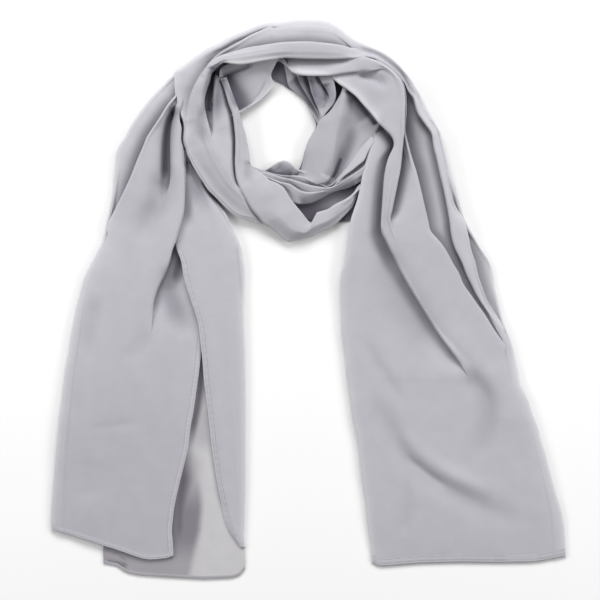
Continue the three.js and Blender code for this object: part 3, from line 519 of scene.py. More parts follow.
# ---------------------------------------------------------------- left tail, inner right panel
L3_H = [(181,150),(181,170),(180.5,190),(180,200),(179,215),(177.5,225),(175.5,235),(175.5,244),(177,250),(179.5,256),(181.5,262),(184,277),(187,288),(191,300),(195,312),(198,322),
 (200,335),(201,345),(203,365),(204,380),(206,395),(209,420),(211,440),(213,455),(216,475),(219,492),(222,505),(225,520),(230,532),(236,541),
 (240,547),(242,552),(243,560)]
L3_K = [(197,150),(198,175),(200,195),(205,215),(209,240),(211,265),(213,290),(217,320),(220,350),(223,380),(226,410),(229,440),(232,470),
 (235,500),(239,525),(241.5,545),(243.5,562)]
L3_R = [(204,150),(208,178),(212,192),(218.5,202),(225.5,212),(230,222),(234.5,231),(238,239),(241,247),(242,256),(243.5,266),(243.5,278),(243,290),(242.5,303),
 (243,325),(244,345),(244.5,365),(245,390),(245,415),(245,445),(245,475),(244.5,500),(244,520),(243.5,535),(243.7,548),(244,556),(245,566)]
# heights H K R, drop K
L3_T = [
 (174,150, 214,150,  7.4,8.6,6.6,   0),
 (173,180, 222,180,  7.6,9.1,7.3, 0),
 (172,205, 234,205,  7.6,9.2,7.3,   0),
 (169,230, 246,230,  7.5,9,7.5,   0),
 (170,255, 252,255,  8,9,7.5, 0),
 (176,280, 252,280,  8.3,9,7.5, 0),
 (184,305, 252,305,  8.3,9,7.5, 0),
 (190,330, 252,330,  8,8.5,7, 0),
 (193,360, 253,360,  7.5,8,6.5, 0),
 (196,400, 253,400,  6,7.2,6, 0),
 (202,440, 253,440,  5,6.5,5.5, 0),
 (209,480, 253,480,  4.3,5.5,5, 0),
 (216,515, 253,515,  3.8,4.5,4.4, 0),
 (226,538, 253,538,  3.6,3.8,3.8, 0),
 (231.5,547.5, 253,547.5,  3.4,3.5,3.5, 0),
]

def make_l3(step=1.8, cols=(16,16)):
    T = np.array(L3_T, float)
    return Sheet("left_inner", T[:, :4], [L3_H, L3_K, L3_R], T[:, 4:7], T[:, 7:8], step=step, cols=list(cols),
                 r0=1.0, r1=3.2, rf=2.0, tuck=5.0, bulge=[0.8, 0.8], sm=2.5)

# ---------------------------------------------------------------- left tail, lower layer
L4_L = [(150,340),(140,380),(130,420),(120,460),(112,500),(106,530),(103.3,548),(103.3,556),(103.7,563),(104,572)]
L4_R = [(236,340),(238,380),(240,420),(241,460),(242,500),(243,530),(244.5,548),(245,558),(245,569),(244,582)]
L4_T = [
 (142,345, 240,345,  2.2,2.2),
 (130,390, 242,390,  2.2,2.2),
 (118,430, 244,430,  2.2,2.2),
 (108,470, 246,470,  2.2,2.2),
 (100,510, 248,510,  2.2,2.2),
 (97,540, 250,545,   2.0,2.0),
 (97,552, 250,562,   1.8,1.8),
 (97,563, 250,572,   1.5,1.5),
]

def make_l4(step=2.0, cols=(60,)):
    T = np.array(L4_T, float)
    return Sheet("left_under", T[:, :4], [L4_L, L4_R], T[:, 4:6], np.zeros((len(T), 0)), step=step, cols=list(cols),
                 r0=0.9, r1=0.9, bulge=[0.4], sm=1.5)

# ---------------------------------------------------------------- inner left ply, then along the bottom to the right
LI_O = [(221,76),(221,79),(224,88),(227,98),(229,105),(232,113),(233.5,120),(234.5,128),(235.5,140),(235.5,150),(235,165),(236,177),(238,184),
 (241,191),(246,200),(252,210),(258,217),(264,224),(268,226),(272,229),(278,234),(283,239),(288,242),(295,240.5),(305,238.5),
 (313,236),(322,231.5),(328,229),(333,226),(337,223),(343,217.3),(349,211.5),(352.5,207),(355,201.5),(357,196.5),(361,191),(368,186)]
LI_I = [(221.5,76),(224,82),(228,90),(232,98),(236,106),(239,112),(243,125),(246,135),(248,145),(249.5,155),(250.5,163),(253,168),(258,171),(266,177),
 (270,180.5),(275,182.5),(280,185),(284,188),(287,192.5),(290,198),(293,202),(297,207),(300,210.5),(304,215.5),(308,220.5),(311.6,223.8),
 (312.4,219),(312.8,214.5),(316,212.8),(322,211),(328,209),(335,204.3),(345,199.3),(350,196),(354,192),(358,188),(363,184),(369,180)]
# heights O m I
LI_T = [
 (216,80, 230,77,    11,11,10),
 (220,90, 236,86,    16,16,14.5),
 (223,102, 243,97,   19,19,17),
 (226,116, 250,110,  19,18,16),
 (228,132, 255,129,  19,17,15),
 (229,148, 258,147,  19,17,14),
 (229,164, 262,162,  19,17,15),
 (229,178, 268,168,  19,18,16),
 (232,192, 280,172,  19,18.8,17.2),
 (238,206, 292,180,  18,18.4,17.4),
 (246,218, 300,190,  16,17,17),
 (257,228, 306,198,  13,17,16),
 (270,238, 310,204,  10,16,15),
 (283,248, 313,207,  8,15,14),
 (297,248, 317,206,  8,14,13),
 (311,244, 323,204,  8,13,13),
 (325,237, 330,201,  8,13,13),
 (338,228, 337,198,  8,12,13),
 (349,218, 344,194,  8,11,13),
 (358,209, 351,190,  7,10,12),
 (366,200, 360,184,  6,9,10),
]

def make_li(step=1.2, cols=(22, 22)):
    T = np.array(LI_T, float)
    O, I = dense(LI_O, 1.0), dense(LI_I, 1.0)
    n = 40
    O = O[np.linspace(0, len(O) - 1, n).astype(int)]
    I = I[np.linspace(0, len(I) - 1, n).astype(int)]
    mid = [tuple(p) for p in (O + I) / 2]
    return Sheet("inner_left", T[:, :4], [LI_O, mid, LI_I], T[:, 4:7], np.zeros((len(T), 1)), step=step, cols=list(cols),
                 r0=3.0, r1=2.6, rf=2.0, tuck=6.0, bulge=[0, 0], sm=0.8)

# ---------------------------------------------------------------- right inner front ply
RF_E = [(386,78),(385,92),(384,106),(382,118),(378,130),(371,140),(364,149),(356,158),(348,167),(341,175.5),(335,183),(329,189),(320,192)]
RF_V = [(362,78),(357,88),(355,98),(354.5,108),(353,118),(350,128),(346,139),(342.5,150),(340,160),(337,170),(334,177),(330,183),(325,187.5),(315,190)]
RF_M = [(345,76),(344,86),(342,98),(339,110),(336,122),(334,134),(333,146),(331.5,160),(330,172),(326,180),(319,183),(310,184)]
RF_B = [(339,74),(341,82),(342.5,88),(340,95),(336,102),(331,110),(325,116),(319,121),(316.5,127),(313,133),(308,141),(305,150),(303,160),(301,169),(299,174),(296,178)]
# heights E V M B
RF_T = [
 (396,80, 328,77,   13,14,15,12),
 (397,94, 330,89,   13,14,16,13),
 (397,108, 328,99,  13,13,17,13),
 (395,122, 318,110, 13,11,17,13),
 (389,134, 306,118, 12,9,17,12),
 (380,145, 303,131, 11,7.5,17,11),
 (371,155, 297,143, 10,6,17,11),
 (362,164, 293,155, 9,5,17,10),
 (353,173, 291,165, 8.5,5,17,9),
 (345,184, 292,170, 8,5.5,16,8),
 (336,194, 294,174, 7.5,6,14,7),
]

def make_rf(step=1.2, cols=(14,12,22)):
    T = np.array(RF_T, float)
    return Sheet("right_inner", T[:, :4], [RF_E, RF_V, RF_M, RF_B], T[:, 4:8], np.zeros((len(T), 2)), step=step, cols=list(cols),
                 r0=2.2, r1=2.2, rf=2.0, tuck=4.0, bulge=[0, 0, 0], sm=2.0)

# ---------------------------------------------------------------- plies along the bottom inside the loop
BP_0 = [(244,163),(251,166),(258,168.5),(264,170.2),(268,168.5),(273,165),(278,162),(283,160.5),(288,161.5),(292,164),(296,168),(302,171),(310,176),(318,181),(325,184.5),(331,184.5),(340,175),(350,163),(360,149),(369,139),(374,133)]
BP_1 = [(244,165),(252,168),(260,170.2),(266,171.3),(275,174),(285,175.5),(300,176),(308,178),(315,180.5),(322,184.5),(331,187.2),(338,182),(345,176),(352,171),(358,166),(364,161),(368,152),(374,143)]
BP_2 = [(244,167),(252,170),(262,171.8),(268,173.2),(280,176.8),(290,179.3),(300,182.3),(310,185.3),(320,187.2),(328,188),(336,185.5),(344,180.5),(352,175),(360,169.5),(367,163),(374,152)]
BP_3 = [(243,169),(252,172),(262,175),(272,179),(282,182.5),(290,184.3),(296,188),(301,191),(308,192.5),(318,192),(328,190),(338,186.5),(347,182),(356,176.5),(364,171),(372,164)]
BP_4 = [(243,171),(250,174),(258,177),(266,182),(275,187.5),(283,192),(288,197),(293,203),(300,204.5),(310,203.5),(320,199.5),(330,193.8),(340,190.3),(350,187.5),(358,183.5),(364,179),(371,173)]
# heights 0 1 2 3 4, drops 1 2 3 (minus: the hole side stands above)
BP_T = [
 (247,156, 243,180,   4,6,8,9,9,        0,1,0),
 (262,160, 252,186,   5,7,10,11,10,     2,2,0),
 (275,152, 262,196,   6,8,13,13.5,11,   4.5,3,.8),
 (287,150, 277,206,   7,9,14,15,11,   5,4,2),
 (299,158, 292,214,   9,10,15,15.5,11,    5,4,2.5),
 (311,164, 309,214,   10,12,15.5,15.5,11,  4.5,3.5,1.5),
 (322,170, 324,207,   10,13,16,15.5,11,    3.5,2.5,.5),
 (333,172, 336,200,   11,14,16,15,10.5,   2,1.5,0),
 (342,164, 351,197,   13,15.5,15,14.5,10,    -3,1,0),
 (352,152, 364,193,   14,16,15,14,9,   -4,2,0),
 (362,139, 374,186,   14,16,14.5,13.5,8,   -4,2.5,0),
 (371,130, 379,170,   13,15,13,11,7,   -3,1,0),
]

def make_bp(step=1.0, cols=(8,6,7,8)):
    T = np.array(BP_T, float)
    return Sheet("bottom_plies", T[:, :4], [BP_0, BP_1, BP_2, BP_3, BP_4], T[:, 4:9], T[:, 9:12], step=step, cols=list(cols),
                 r0=1.6, r1=2.6, rf=1.3, tuck=3.0, bulge=[0, 0, 0, 0], sm=1.2, dip=2.5, reach=3)

# ---------------------------------------------------------------- inner back cloth, top left of the loop
IB_0 = [(226,118),(233,116),(240,113),(250,107),(262,99),(269,92),(274,85),(272,79),(271,75),(275,66),(278,60),(282,52)]
IB_1 = [(214,92),(218,84),(219,77),(220,70),(225,66),(233,63),(242,60),(250,58),(256,55),(264,50)]
IB_T = [
 (233,126, 208,98,  9,9),
 (240,121, 211,82,  9,10),
 (252,114, 214,65,  8,12),
 (263,106, 227,57,  7,13),
 (272,97,  239,53,  7,13),
 (281,84,  250,50,  7,13),
 (284,73,  258,47,  8,12),
 (287,60,  266,44,  9,12),
]

def make_ib(step=1.2, cols=(44,)):
    T = np.array(IB_T, float)
    return Sheet("inner_back", T[:, :4], [IB_0, IB_1], T[:, 4:6], np.zeros((len(T), 0)), step=step, cols=list(cols),
                 r0=0.8, r1=0.8, bulge=[1.0], sm=1.2)

# ---------------------------------------------------------------- thin plies hanging at the inner right
IR_0 = [(283,56),(284,64),(286,74),(289,87),(296,93),(300,96),(306,103),(311,112),(315,119),(317,124),(317,130)]
IR_1 = [(292,58),(294,66),(297,76),(301,86),(307,96),(312,104),(316,111),(319,118),(320,126)]
IR_2 = [(303,60),(305,70),(308,80),(311,92),(314.5,102),(318,110),(320,117),(321,124)]
IR_3 = [(316,62),(317,72),(321,82),(326,90),(329,98),(326,105),(322,111),(321,117),(322,122)]
IR_4 = [(332,64),(333,76),(335,86),(336,96),(334,104),(329,110),(325,115),(323,120)]
# heights 0 1 2 3 4, drops 1 2 3
IR_T = [
 (272,58, 342,58,   4,7,9,10,11,   2,3,2),
 (274,68, 343,70,   4,8,10,11,12,   2,3,2),
 (278,82, 344,80,   4,9,12,13,15, 3,4,3),
 (285,96, 345,89,   4,9,12.5,13.5,15,    3,5,3),
 (294,103, 344,97,  4,9,12.5,13.5,14.5,  3,5,2),
 (300,112, 341,104, 5,8.5,12,12.5,13,  3,4,1),
 (305,121, 337,109, 6,8,11,12,12,    2,3,0),
 (309,129, 332,114, 6,8,10,10,10,    1,1.5,0),
]

def make_ir(step=1.2, cols=(10,10,10,10)):
    T = np.array(IR_T, float)
    return Sheet("right_plies", T[:, :4], [IR_0, IR_1, IR_2, IR_3, IR_4], T[:, 4:9], T[:, 9:12], step=step, cols=list(cols),
                 r0=1.0, r1=1.6, rf=1.3, tuck=3.0, bulge=[0,0,0,0], sm=1.2, dip=3, reach=4)

# ---------------------------------------------------------------- hidden layers under the loop, seen only in its gaps
UN_0 = [(262,70),(270,76.5),(276,81),(283,84.5),(288,88.5),(297,94),(307,104),(313,116),(316,125),(311,137),(305,150),(302,162),(298,170),(286,171),(270,172),(256,172),(250,176)]
UN_1 = [(262,36),(290,34),(330,36),(368,58),(388,88),(394,120),(391,146),(386,170),(380,190),(370,207),(354,219),(340,222),(325,223),(314,221),(288,216),(262,206),(246,196)]
UN_T = [
 (258,74, 255,30,   2,2),
 (272,86, 283,28,   2,2),
 (287,94, 340,28,   2,2),
 (296,104, 376,50,  2,1.5),
 (302,114, 399,92,  2,1.5),
 (306,126, 404,128, 2,1.5),
 (303,138, 398,152, 2,1.5),
 (298,148, 388,176, 2,1.5),
 (296,158, 376,212, 2,2),
 (290,164, 346,232, 2,2),
 (276,165, 312,232, 2,2),
 (264,166, 282,223, 2,2),
 (252,170, 258,214, 2,2),
 (246,176, 243,200, 2,2),
]

def make_un(step=2.5, cols=(30,)):
    T = np.array(UN_T, float)
    return Sheet("under", T[:, :4], [UN_0, UN_1], T[:, 4:6], np.zeros((len(T), 0)), step=step, cols=list(cols),
                 r0=1.2, r1=1.2, bulge=[0.0], sm=1.5)

# ---------------------------------------------------------------- creases laid into the stretches
# name of the stretch: (line in plan, height change, half width on its left and right hand with y down,
# fade at its two ends, share of painted shade in the trough)
CREASES = {
    "outer": [
        # beside the inner left ply, which lies over it
        (LI_O[1:14], -7, 1.9, 8, (0.02, 0.1), 0.55),
        (LI_O[11:20], -1.5, 1.2, 4, (0.2, 0.1), 0.35),
        # the pocket's floor, and the ply beside it where it comes from under the front fold
        ([(215, 68), (212.5, 80), (209.5, 94), (209, 106), (209.5, 117)], -3, 3.5, 3, (0.05, 0.15), 0.9),
        ([(216, 66), (219, 72), (220, 82)], -2, 5, 4, (0.02, 0.5), 0.5),
        ([(217, 68), (218.5, 80), (218.5, 92), (216.5, 106), (214, 119), (212, 134)], -0.5, 5, 6, (0.02, 0.5), 0.75),
        # soft hollow below the pocket's end
        ([(207, 104), (204, 116), (201, 128), (203, 142), (206, 152)], -4.5, 5, 5, (0.3, 0.4), 0.35),
        # notch between the two outer plies at the right shoulder
        ([(352, 49.5), (365, 51.5), (377, 55), (387, 61), (395, 67.5), (402, 75), (407, 84), (411, 93), (415, 106)], -5, 1.7, 1.7, (0.2, 0.3), 0.6),
        # soft hollow beside the front fold's end
        ([(356, 75), (366, 76.5), (375, 79), (383, 83), (391, 88)], -4.5, 4, 2.5, (0.2, 0.4), 0.35),
        ([(350, 70), (368, 90), (382, 116)], -0.6, 11, 12, (0.3, 0.3), 0.14),
        # the long soft trough that crosses the right tail, and the ridge beside it
        ([(364, 388), (372, 399), (382, 415), (391, 430), (400, 445), (410, 458), (420, 467), (430, 475), (440, 482), (450, 490),
          (460, 496), (472, 502), (486, 509), (505, 516), (522, 520), (545, 523)], -2.9, 9, 8, (0.25, 0.35), 0.12),
        ([(402, 450), (412, 461), (420, 467), (430, 475), (440, 482), (452, 491)], -1.2, 3, 2.5, (0.3, 0.3), 0.16),
        ([(392, 418), (404, 436), (416, 452), (430, 464), (446, 474), (464, 482), (484, 489), (510, 495)], 2.8, 7, 7, (0.3, 0.4), 0),
        ([(356, 330), (366, 345), (378, 364), (390, 382), (400, 398), (410, 414)], -1.3, 6, 5, (0.4, 0.4), 0.07),
        ([(409, 468), (408, 490), (407, 512), (406, 540)], -1.0, 5, 5, (0.4, 0.3), 0.08),
        # the inner fold's edge runs on as a wide soft trough
        ([(462, 367), (469, 375), (477, 385), (485, 398), (488, 414), (487, 432), (483, 452), (480, 475)], -3.6, 9, 7, (0.2, 0.45), 0.2),
        ([(440, 318), (458, 340), (476, 362), (494, 386), (503, 405)], 1.4, 8, 8, (0.3, 0.3), 0),
        ([(500, 352), (504, 380), (508, 410), (512, 440)], 1.2, 14, 14, (0.3, 0.3), 0),
        # the wide shade left of the inner fold
        ([(374, 226), (380, 246), (388, 264), (396, 280)], -2.0, 7, 7, (0.3, 0.4), 0.2),
        ([(376, 240), (386, 262), (398, 286), (412, 310), (426, 334), (441, 358)], -1.5, 15, 12, (0.25, 0.25), 0.26),
        # hem of the outermost ply
        ([(469, 232), (476, 245), (482, 255), (488, 265), (491, 273)], -0.8, 0.9, 0.9, (0.2, 0.2), 0.25),
        # upper plies
        ([(290, 40), (310, 40.5), (330, 42)], -1.0, 4, 4, (0.4, 0.4), 0.1),
    ],
    "left_main": [
        ([(186, 138), (187.5, 152), (188.5, 172)], -0.8, 3, 3.5, (0.1, 0.3), 0.95),
        ([(176, 105), (170, 119), (167, 133), (165.5, 148), (165, 164), (165, 178), (164, 190)], -5, 3, 5, (0.1, 0.25), 0.95),
        ([(166, 165), (165, 180), (161, 195), (155, 208), (149, 220), (144, 234), (141, 250)], -4.0, 9, 9, (0.25, 0.5), 0.28),
        ([(176, 262), (172, 282), (171, 298), (176, 314), (183, 328), (184, 342)], -4.0, 8, 8, (0.2, 0.4), 0.45),
        ([(187, 222), (185, 238), (182, 252), (178, 266), (174, 280), (170, 294)], -4.0, 3.5, 6, (0.15, 0.3), 0.85),
        ([(97, 290), (92, 320), (88, 345), (84, 370)], -1.6, 6, 6, (0.3, 0.4), 0.1),
        ([(152, 330), (142, 342), (132, 354), (124, 368)], -0.9, 7, 7, (0.4, 0.4), 0.06),
        ([(78, 426), (100, 427), (125, 424), (150, 420)], -0.5, 4, 3, (0.4, 0.4), 0.05),
        ([(66, 400), (64, 440), (62, 480)], 1.0, 9, 9, (0.3, 0.3), 0),
        ([(90, 455), (88, 480), (92, 505)], -0.8, 12, 12, (0.3, 0.3), 0.05),
    ],
    "left_inner": [
        ([(183, 148), (186, 164), (189, 186)], -2.5, 3, 3.5, (0.02, 0.5), 0.95),
        ([(192, 160), (195, 175), (199, 190), (204, 205), (210, 220)], -3, 9, 6, (0.05, 0.5), 0.5),
        ([(184, 170), (186, 190), (187, 210), (185, 230)], -1.5, 5, 5, (0.1, 0.3), 0.5),
        ([(187, 160), (190, 172), (196, 183), (203, 195), (209, 205)], -0.7, 1.4, 1.4, (0.3, 0.4), 0.3),
        ([(207, 188), (213, 199), (221, 211), (228, 222), (235, 234)], -0.8, 1.0, 1.0, (0.2, 0.2), 0.25),
        ([(199, 176), (207, 189), (215, 198.5), (223, 206), (230, 213)], -2.5, 2.0, 2.4, (0.2, 0.15), 0.95),
        ([(236, 242), (238, 256), (240, 275), (241, 290), (242, 303)], -0.8, 1.0, 1.0, (0.2, 0.3), 0.2),
    ],
    "left_under": [
        ([(202, 342), (202, 368), (199, 396), (193, 428), (188, 455)], -1.0, 4, 4, (0.05, 0.3), 0.9),
        ([(190, 440), (186, 468), (183, 488), (180, 508), (179, 530), (178, 555), (176, 582)], -0.6, 6, 9, (0.3, 0.4), 0.92),
        ([(106, 561), (115, 561.5), (124, 560), (132, 558)], -0.5, 2.2, 2.2, (0.1, 0.3), 0.95),
        ([(104, 550), (118, 554), (134, 559)], -0.4, 1.2, 1.2, (0.1, 0.3), 0.7),
        ([(214, 430), (219, 470), (223, 500), (228, 520)], -0.3, 4, 5, (0.3, 0.3), 0.25),
        ([(196, 400), (202, 430), (205, 460)], -0.3, 8, 8, (0.3, 0.4), 0.3),
    ],
    "inner_left": [
        ([(250, 160), (249, 168), (248, 177), (247, 188)], -2.2, 3.5, 4, (0.2, 0.5), 0.32),
        ([(223, 80), (228, 90), (232, 98), (236, 106), (239, 112)], -0.8, 3, 3, (0.02, 0.3), 0.6),
    ],
    "inner_back": [
        ([(222, 77), (231, 95), (240, 112)], -7, 6, 10, (0.02, 0.05), 0.95),
        ([(243, 111), (250, 104), (258, 96), (263, 88), (267, 79)], -0.7, 0.9, 0.9, (0.1, 0.2), 0.2),
        ([(222, 77), (228, 74.5), (237, 71.5), (246, 68), (254, 63)], -3, 1.6, 3, (0.05, 0.2), 0.7),
        ([(221, 71), (233, 67), (246, 63)], -0.5, 3, 3, (0.05, 0.2), 0.4),
    ],
    "right_inner": [
        ([(347, 90), (356, 98), (364, 108), (371, 117), (377, 125)], -5, 2.0, 4, (0.05, 0.02), 0.85),
        ([(349, 92), (357, 103), (363, 112), (370, 122)], -3, 8, 6, (0.3, 0.2), 0.45),
        ([(357, 116), (353, 130), (348, 144), (342, 156), (336, 168), (330, 180)], -3, 6, 7, (0.4, 0.05), 0.5),
        ([(352, 134), (346, 148), (338, 164), (329, 180)], -0.6, 7, 7, (0.9, 0.02), 0.4),
        ([(304, 148), (303, 160), (301, 172)], -1.5, 2, 4, (0.5, 0.1), 0.3),
    ],
    "bottom_plies": [
        ([(276, 166), (284, 172), (294, 176)], -2, 4, 4, (0.2, 0.2), 0.4),
        ([(297, 204), (312, 204), (325, 198), (340, 190), (358, 184)], -3, 2.5, 4, (0.1, 0.1), 0.5),
    ],
    "right_plies": [
        ([(300, 74), (308, 86), (316, 102), (319, 116)], -0.5, 15, 17, (0.02, 0.3), 0.75),
        ([(311, 78), (314, 92), (318, 104)], -2, 2, 2, (0.1, 0.3), 0.9),
        ([(325, 84), (326, 96), (322, 106)], -3, 3.5, 3.5, (0.1, 0.3), 0.8),
    ],
}


def as_metres(G):
    P = np.empty_like(G)
    P[..., 0] = (G[..., 0] - CX) * UNIT
    P[..., 1] = (CY - G[..., 1]) * UNIT
    P[..., 2] = G[..., 2]
    return P / 1000.0


def creased(sheet):
    """Grid of the stretch with its creases laid in, and the painted shade in its folds, from how deep in the folds each
    point lies.
    """
    G = sheet.build()
    flat = G[..., :2].reshape(-1, 2)
    dz = np.zeros(len(flat))
    tone = np.zeros(len(flat))
    for line, depth, wl, wr, fade, share in CREASES.get(sheet.name, []):
        c = crease(flat, line, depth, wl, wr, fade)
        dz += c
        tone = np.maximum(tone, share * c / depth)
    dz = dz.reshape(G.shape[:2])
    G[..., 2] = np.maximum(G[..., 2] + dz, np.minimum(G[..., 2], 0.3))
    return G, np.maximum(sheet.tone, tone.reshape(G.shape[:2]))


def grid_mesh(name, P, painted_edge_light, tone):
    """Mesh of a grid of points (stations, columns), facing up, with a map of its true lengths along and across."""
    m, n = P.shape[:2]
    idx = np.arange(m * n).reshape(m, n)
    quads = np.stack([idx[:-1, :-1], idx[:-1, 1:], idx[1:, 1:], idx[1:, :-1]], -1).reshape(-1, 4)
    mesh = bpy.data.meshes.new(name)
    mesh.from_pydata(P.reshape(-1, 3).tolist(), [], quads.tolist())
    mid = mesh.polygons[len(mesh.polygons) // 2].normal
    up = np.mean([p.normal.z for p in mesh.polygons])
    if up < 0:
        mesh.flip_normals()
    across = np.concatenate([np.zeros((m, 1)), np.cumsum(np.linalg.norm(np.diff(P, axis=1), axis=2), 1)], 1)
    along = np.concatenate([np.zeros((1, n)), np.cumsum(np.linalg.norm(np.diff(P, axis=0), axis=2), 0)], 0)
    along = along.mean(1, keepdims=True) * np.ones((1, n))
    across = across - across.mean(1, keepdims=True)
    uv = mesh.uv_layers.new(name="cloth")
    loops = np.empty(len(mesh.loops), np.int32)
    mesh.loops.foreach_get("vertex_index", loops)
    st = np.stack([across.reshape(-1)[loops], along.reshape(-1)[loops]], 1)
    uv.data.foreach_set("uv", st.reshape(-1).astype(np.float32))
    mesh.polygons.foreach_set("use_smooth", np.ones(len(mesh.polygons), bool))
    # point marks of painted light at the edges and painted shade in the folds
    for layer, value in (("painted_edge_light", painted_edge_light), ("painted_shade", tone)):
        mark = mesh.attributes.new(layer, "FLOAT", "POINT")
        mark.data.foreach_set("value", value.reshape(-1).astype(np.float32))
    mesh.update()
    return mesh


def put(name, G, painted_edge_light, tone, nodes, material, held="laid", rests_on=("root",), slot="cloth", hems=()):
    P = as_metres(G)
    mesh = grid_mesh(name, P, painted_edge_light, tone)
    o = bpy.data.objects.new(name, mesh)
    bpy.context.scene.collection.objects.link(o)
    mesh.materials.append(material)
    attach(o, "root")
    if nodes:
        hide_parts(*nodes)
    return o


def painted_light_at_edges(sheet, w0, w1):
    """Painted light: 1 where one layer lies over the pale surface, at the outer and inner edge, falling off over w0 and
    w1 mm; it lightens the colour for the light coming through and for the bright rims.
    """
    X, p = sheet.X, sheet.pos
    t = np.zeros_like(X)
    if w0:
        t = np.maximum(t, np.exp(-np.maximum(X - p[0][:, None], 0) / w0))
    if w1:
        t = np.maximum(t, np.exp(-np.maximum(p[-1][:, None] - X, 0) / w1))
    return t


def bowed(G, rows, reach=26.0):
    """Moves the last rows of a grid down the plan by the stated amounts, so that the bottom edge bows."""
    rows = np.array(rows, float)
    back = np.linalg.norm((G[-1:, :, :2] - G[:, :, :2]), axis=2) * UNIT
    G[..., 1] += smooth01(1 - back / reach) * np.interp(G[..., 0], rows[:, 0], rows[:, 1])
    return G


def down(G, *values):
    """Adds a last row that closes the bottom edge down to the surface."""
    last = G[-1:].copy()
    last[..., 2] = 0.3
    return [np.concatenate([G, last])] + [np.concatenate([v, v[-1:]]) for v in values]


def shaded(G, line, soft, share, fade):
    """Painted shade left of a line down the plan, with a soft edge, coming in between the two heights of fade."""
    line = np.array(line, float)
    edge = np.interp(G[..., 1], line[:, 1], line[:, 0])
    come = smooth01((G[..., 1] - fade[0]) / (fade[1] - fade[0]))
    return share * smooth01((edge - G[..., 0]) / soft + 0.5) * come


def hem(name, G, width, slot="cloth", tint=0.0, material=None):
    """A turned and stitched hem along a grid's last row: two rows of stitches in a narrow doubled band."""
    back = np.linalg.norm((G[-1:, :, :2] - G[:, :, :2]), axis=2) * UNIT
    n, m = 15, G.shape[1]
    v = np.linspace(0, 1, n)
    out = np.zeros((m, n, 3))
    for j in range(m):
        for c in range(3):
            out[j, :, c] = np.interp(v * width, back[::-1, j], G[::-1, j, c])
    rise = HEM_RISE * np.clip(np.minimum(v / 0.08, (1 - v) / 0.08), -0.1, 1)
    sunk = sum(np.exp(-0.5 * ((v - at) / 0.045) ** 2) for at in HEM_ROWS)
    along = np.concatenate([[0], np.cumsum(np.linalg.norm(np.diff(out[:, 0, :2], axis=0), axis=1))]) * UNIT
    dash = 0.65 + 0.35 * np.sign(np.sin(along * 2 * math.pi / STITCH))
    out[..., 2] += rise - HEM_RISE * 0.7 * sunk * dash[:, None]
    out[:, 0, 2] -= 0.8
    # painted shade in the sunk stitch rows and along both edges of the hem; tint paints shade over the whole hem
    tone = np.maximum(tint, 0.45 * sunk * dash[:, None])
    tone[:, 0] = tone[:, -1] = 0.5
    return put(name, out, np.full((m, n), 0.15), tone, [], material or chiffon, slot=slot, held=None)


def lay(name, sheet, nodes, material, painted_edge_light=(0, 0), least=0.0, **kw):
    G, tone = creased(sheet)
    tone = np.maximum(tone, least)
    return put(name, G, painted_light_at_edges(sheet, *painted_edge_light), tone, nodes, material, **kw)


# ---------------------------------------------------------------- cloth
def cloth_material(name, colour, rough=0.82, sheen=0.35):
    mat = bpy.data.materials.new(name)
    mat.use_nodes = True
    nt = mat.node_tree
    b = nt.nodes["Principled BSDF"]
    b.inputs["Roughness"].default_value = rough
    b.inputs["Specular IOR Level"].default_value = 0.25
    b.inputs["Sheen Weight"].default_value = sheen
    b.inputs["Sheen Roughness"].default_value = 0.35
    b.inputs["Sheen Tint"].default_value = (0.95, 0.95, 1.0, 1)
    co = nt.nodes.new("ShaderNodeTexCoord")
    # slight unevenness of the dye
    big = nt.nodes.new("ShaderNodeTexNoise")
    big.inputs["Scale"].default_value = 60
    big.inputs["Detail"].default_value = 3
    nt.links.new(co.outputs["Object"], big.inputs["Vector"])
    ramp = nt.nodes.new("ShaderNodeValToRGB")
    ramp.color_ramp.elements[0].position = 0.3
    ramp.color_ramp.elements[1].position = 0.7
    c = np.array(colour)
    ramp.color_ramp.elements[0].color = (*(c * 0.975), 1)
    ramp.color_ramp.elements[1].color = (*(c * 1.025), 1)
    nt.links.new(big.outputs["Fac"], ramp.inputs["Fac"])
    # painted light: lighter where one layer lies over the pale surface, standing in for the light coming through it and
    # for the bright rims at the edges
    mark = nt.nodes.new("ShaderNodeAttribute")
    mark.attribute_name = "painted_edge_light"
    over = nt.nodes.new("ShaderNodeMix")
    over.data_type = "RGBA"
    over.inputs[7].default_value = (*EDGE_LIGHT_COLOUR, 1)
    nt.links.new(mark.outputs["Fac"], over.inputs[0])
    nt.links.new(ramp.outputs["Color"], over.inputs[6])
    # painted shade in the folds, creases and gaps, partly also the denser tone of the gathered layers
    mark = nt.nodes.new("ShaderNodeAttribute")
    mark.attribute_name = "painted_shade"
    painted_shade_mix = nt.nodes.new("ShaderNodeMix")
    painted_shade_mix.data_type = "RGBA"
    painted_shade_mix.inputs[7].default_value = (colour[0] * 0.23, colour[1] * 0.21, colour[2] * 0.26, 1)
    nt.links.new(mark.outputs["Fac"], painted_shade_mix.inputs[0])
    nt.links.new(over.outputs[2], painted_shade_mix.inputs[6])
    nt.links.new(painted_shade_mix.outputs[2], b.inputs["Base Color"])
    # crepe grain
    grain = nt.nodes.new("ShaderNodeTexNoise")
    grain.inputs["Scale"].default_value = 900
    grain.inputs["Detail"].default_value = 2
    nt.links.new(co.outputs["Object"], grain.inputs["Vector"])
    bump = nt.nodes.new("ShaderNodeBump")
    bump.inputs["Strength"].default_value = 0.25
    bump.inputs["Distance"].default_value = 0.0003
    nt.links.new(grain.outputs["Fac"], bump.inputs["Height"])
    nt.links.new(bump.outputs["Normal"], b.inputs["Normal"])
    return mat


GREY = (0.365, 0.362, 0.392)
# lighter colour of the painted light at the edges
EDGE_LIGHT_COLOUR = (0.50, 0.495, 0.52)
chiffon = cloth_material("chiffon", GREY)
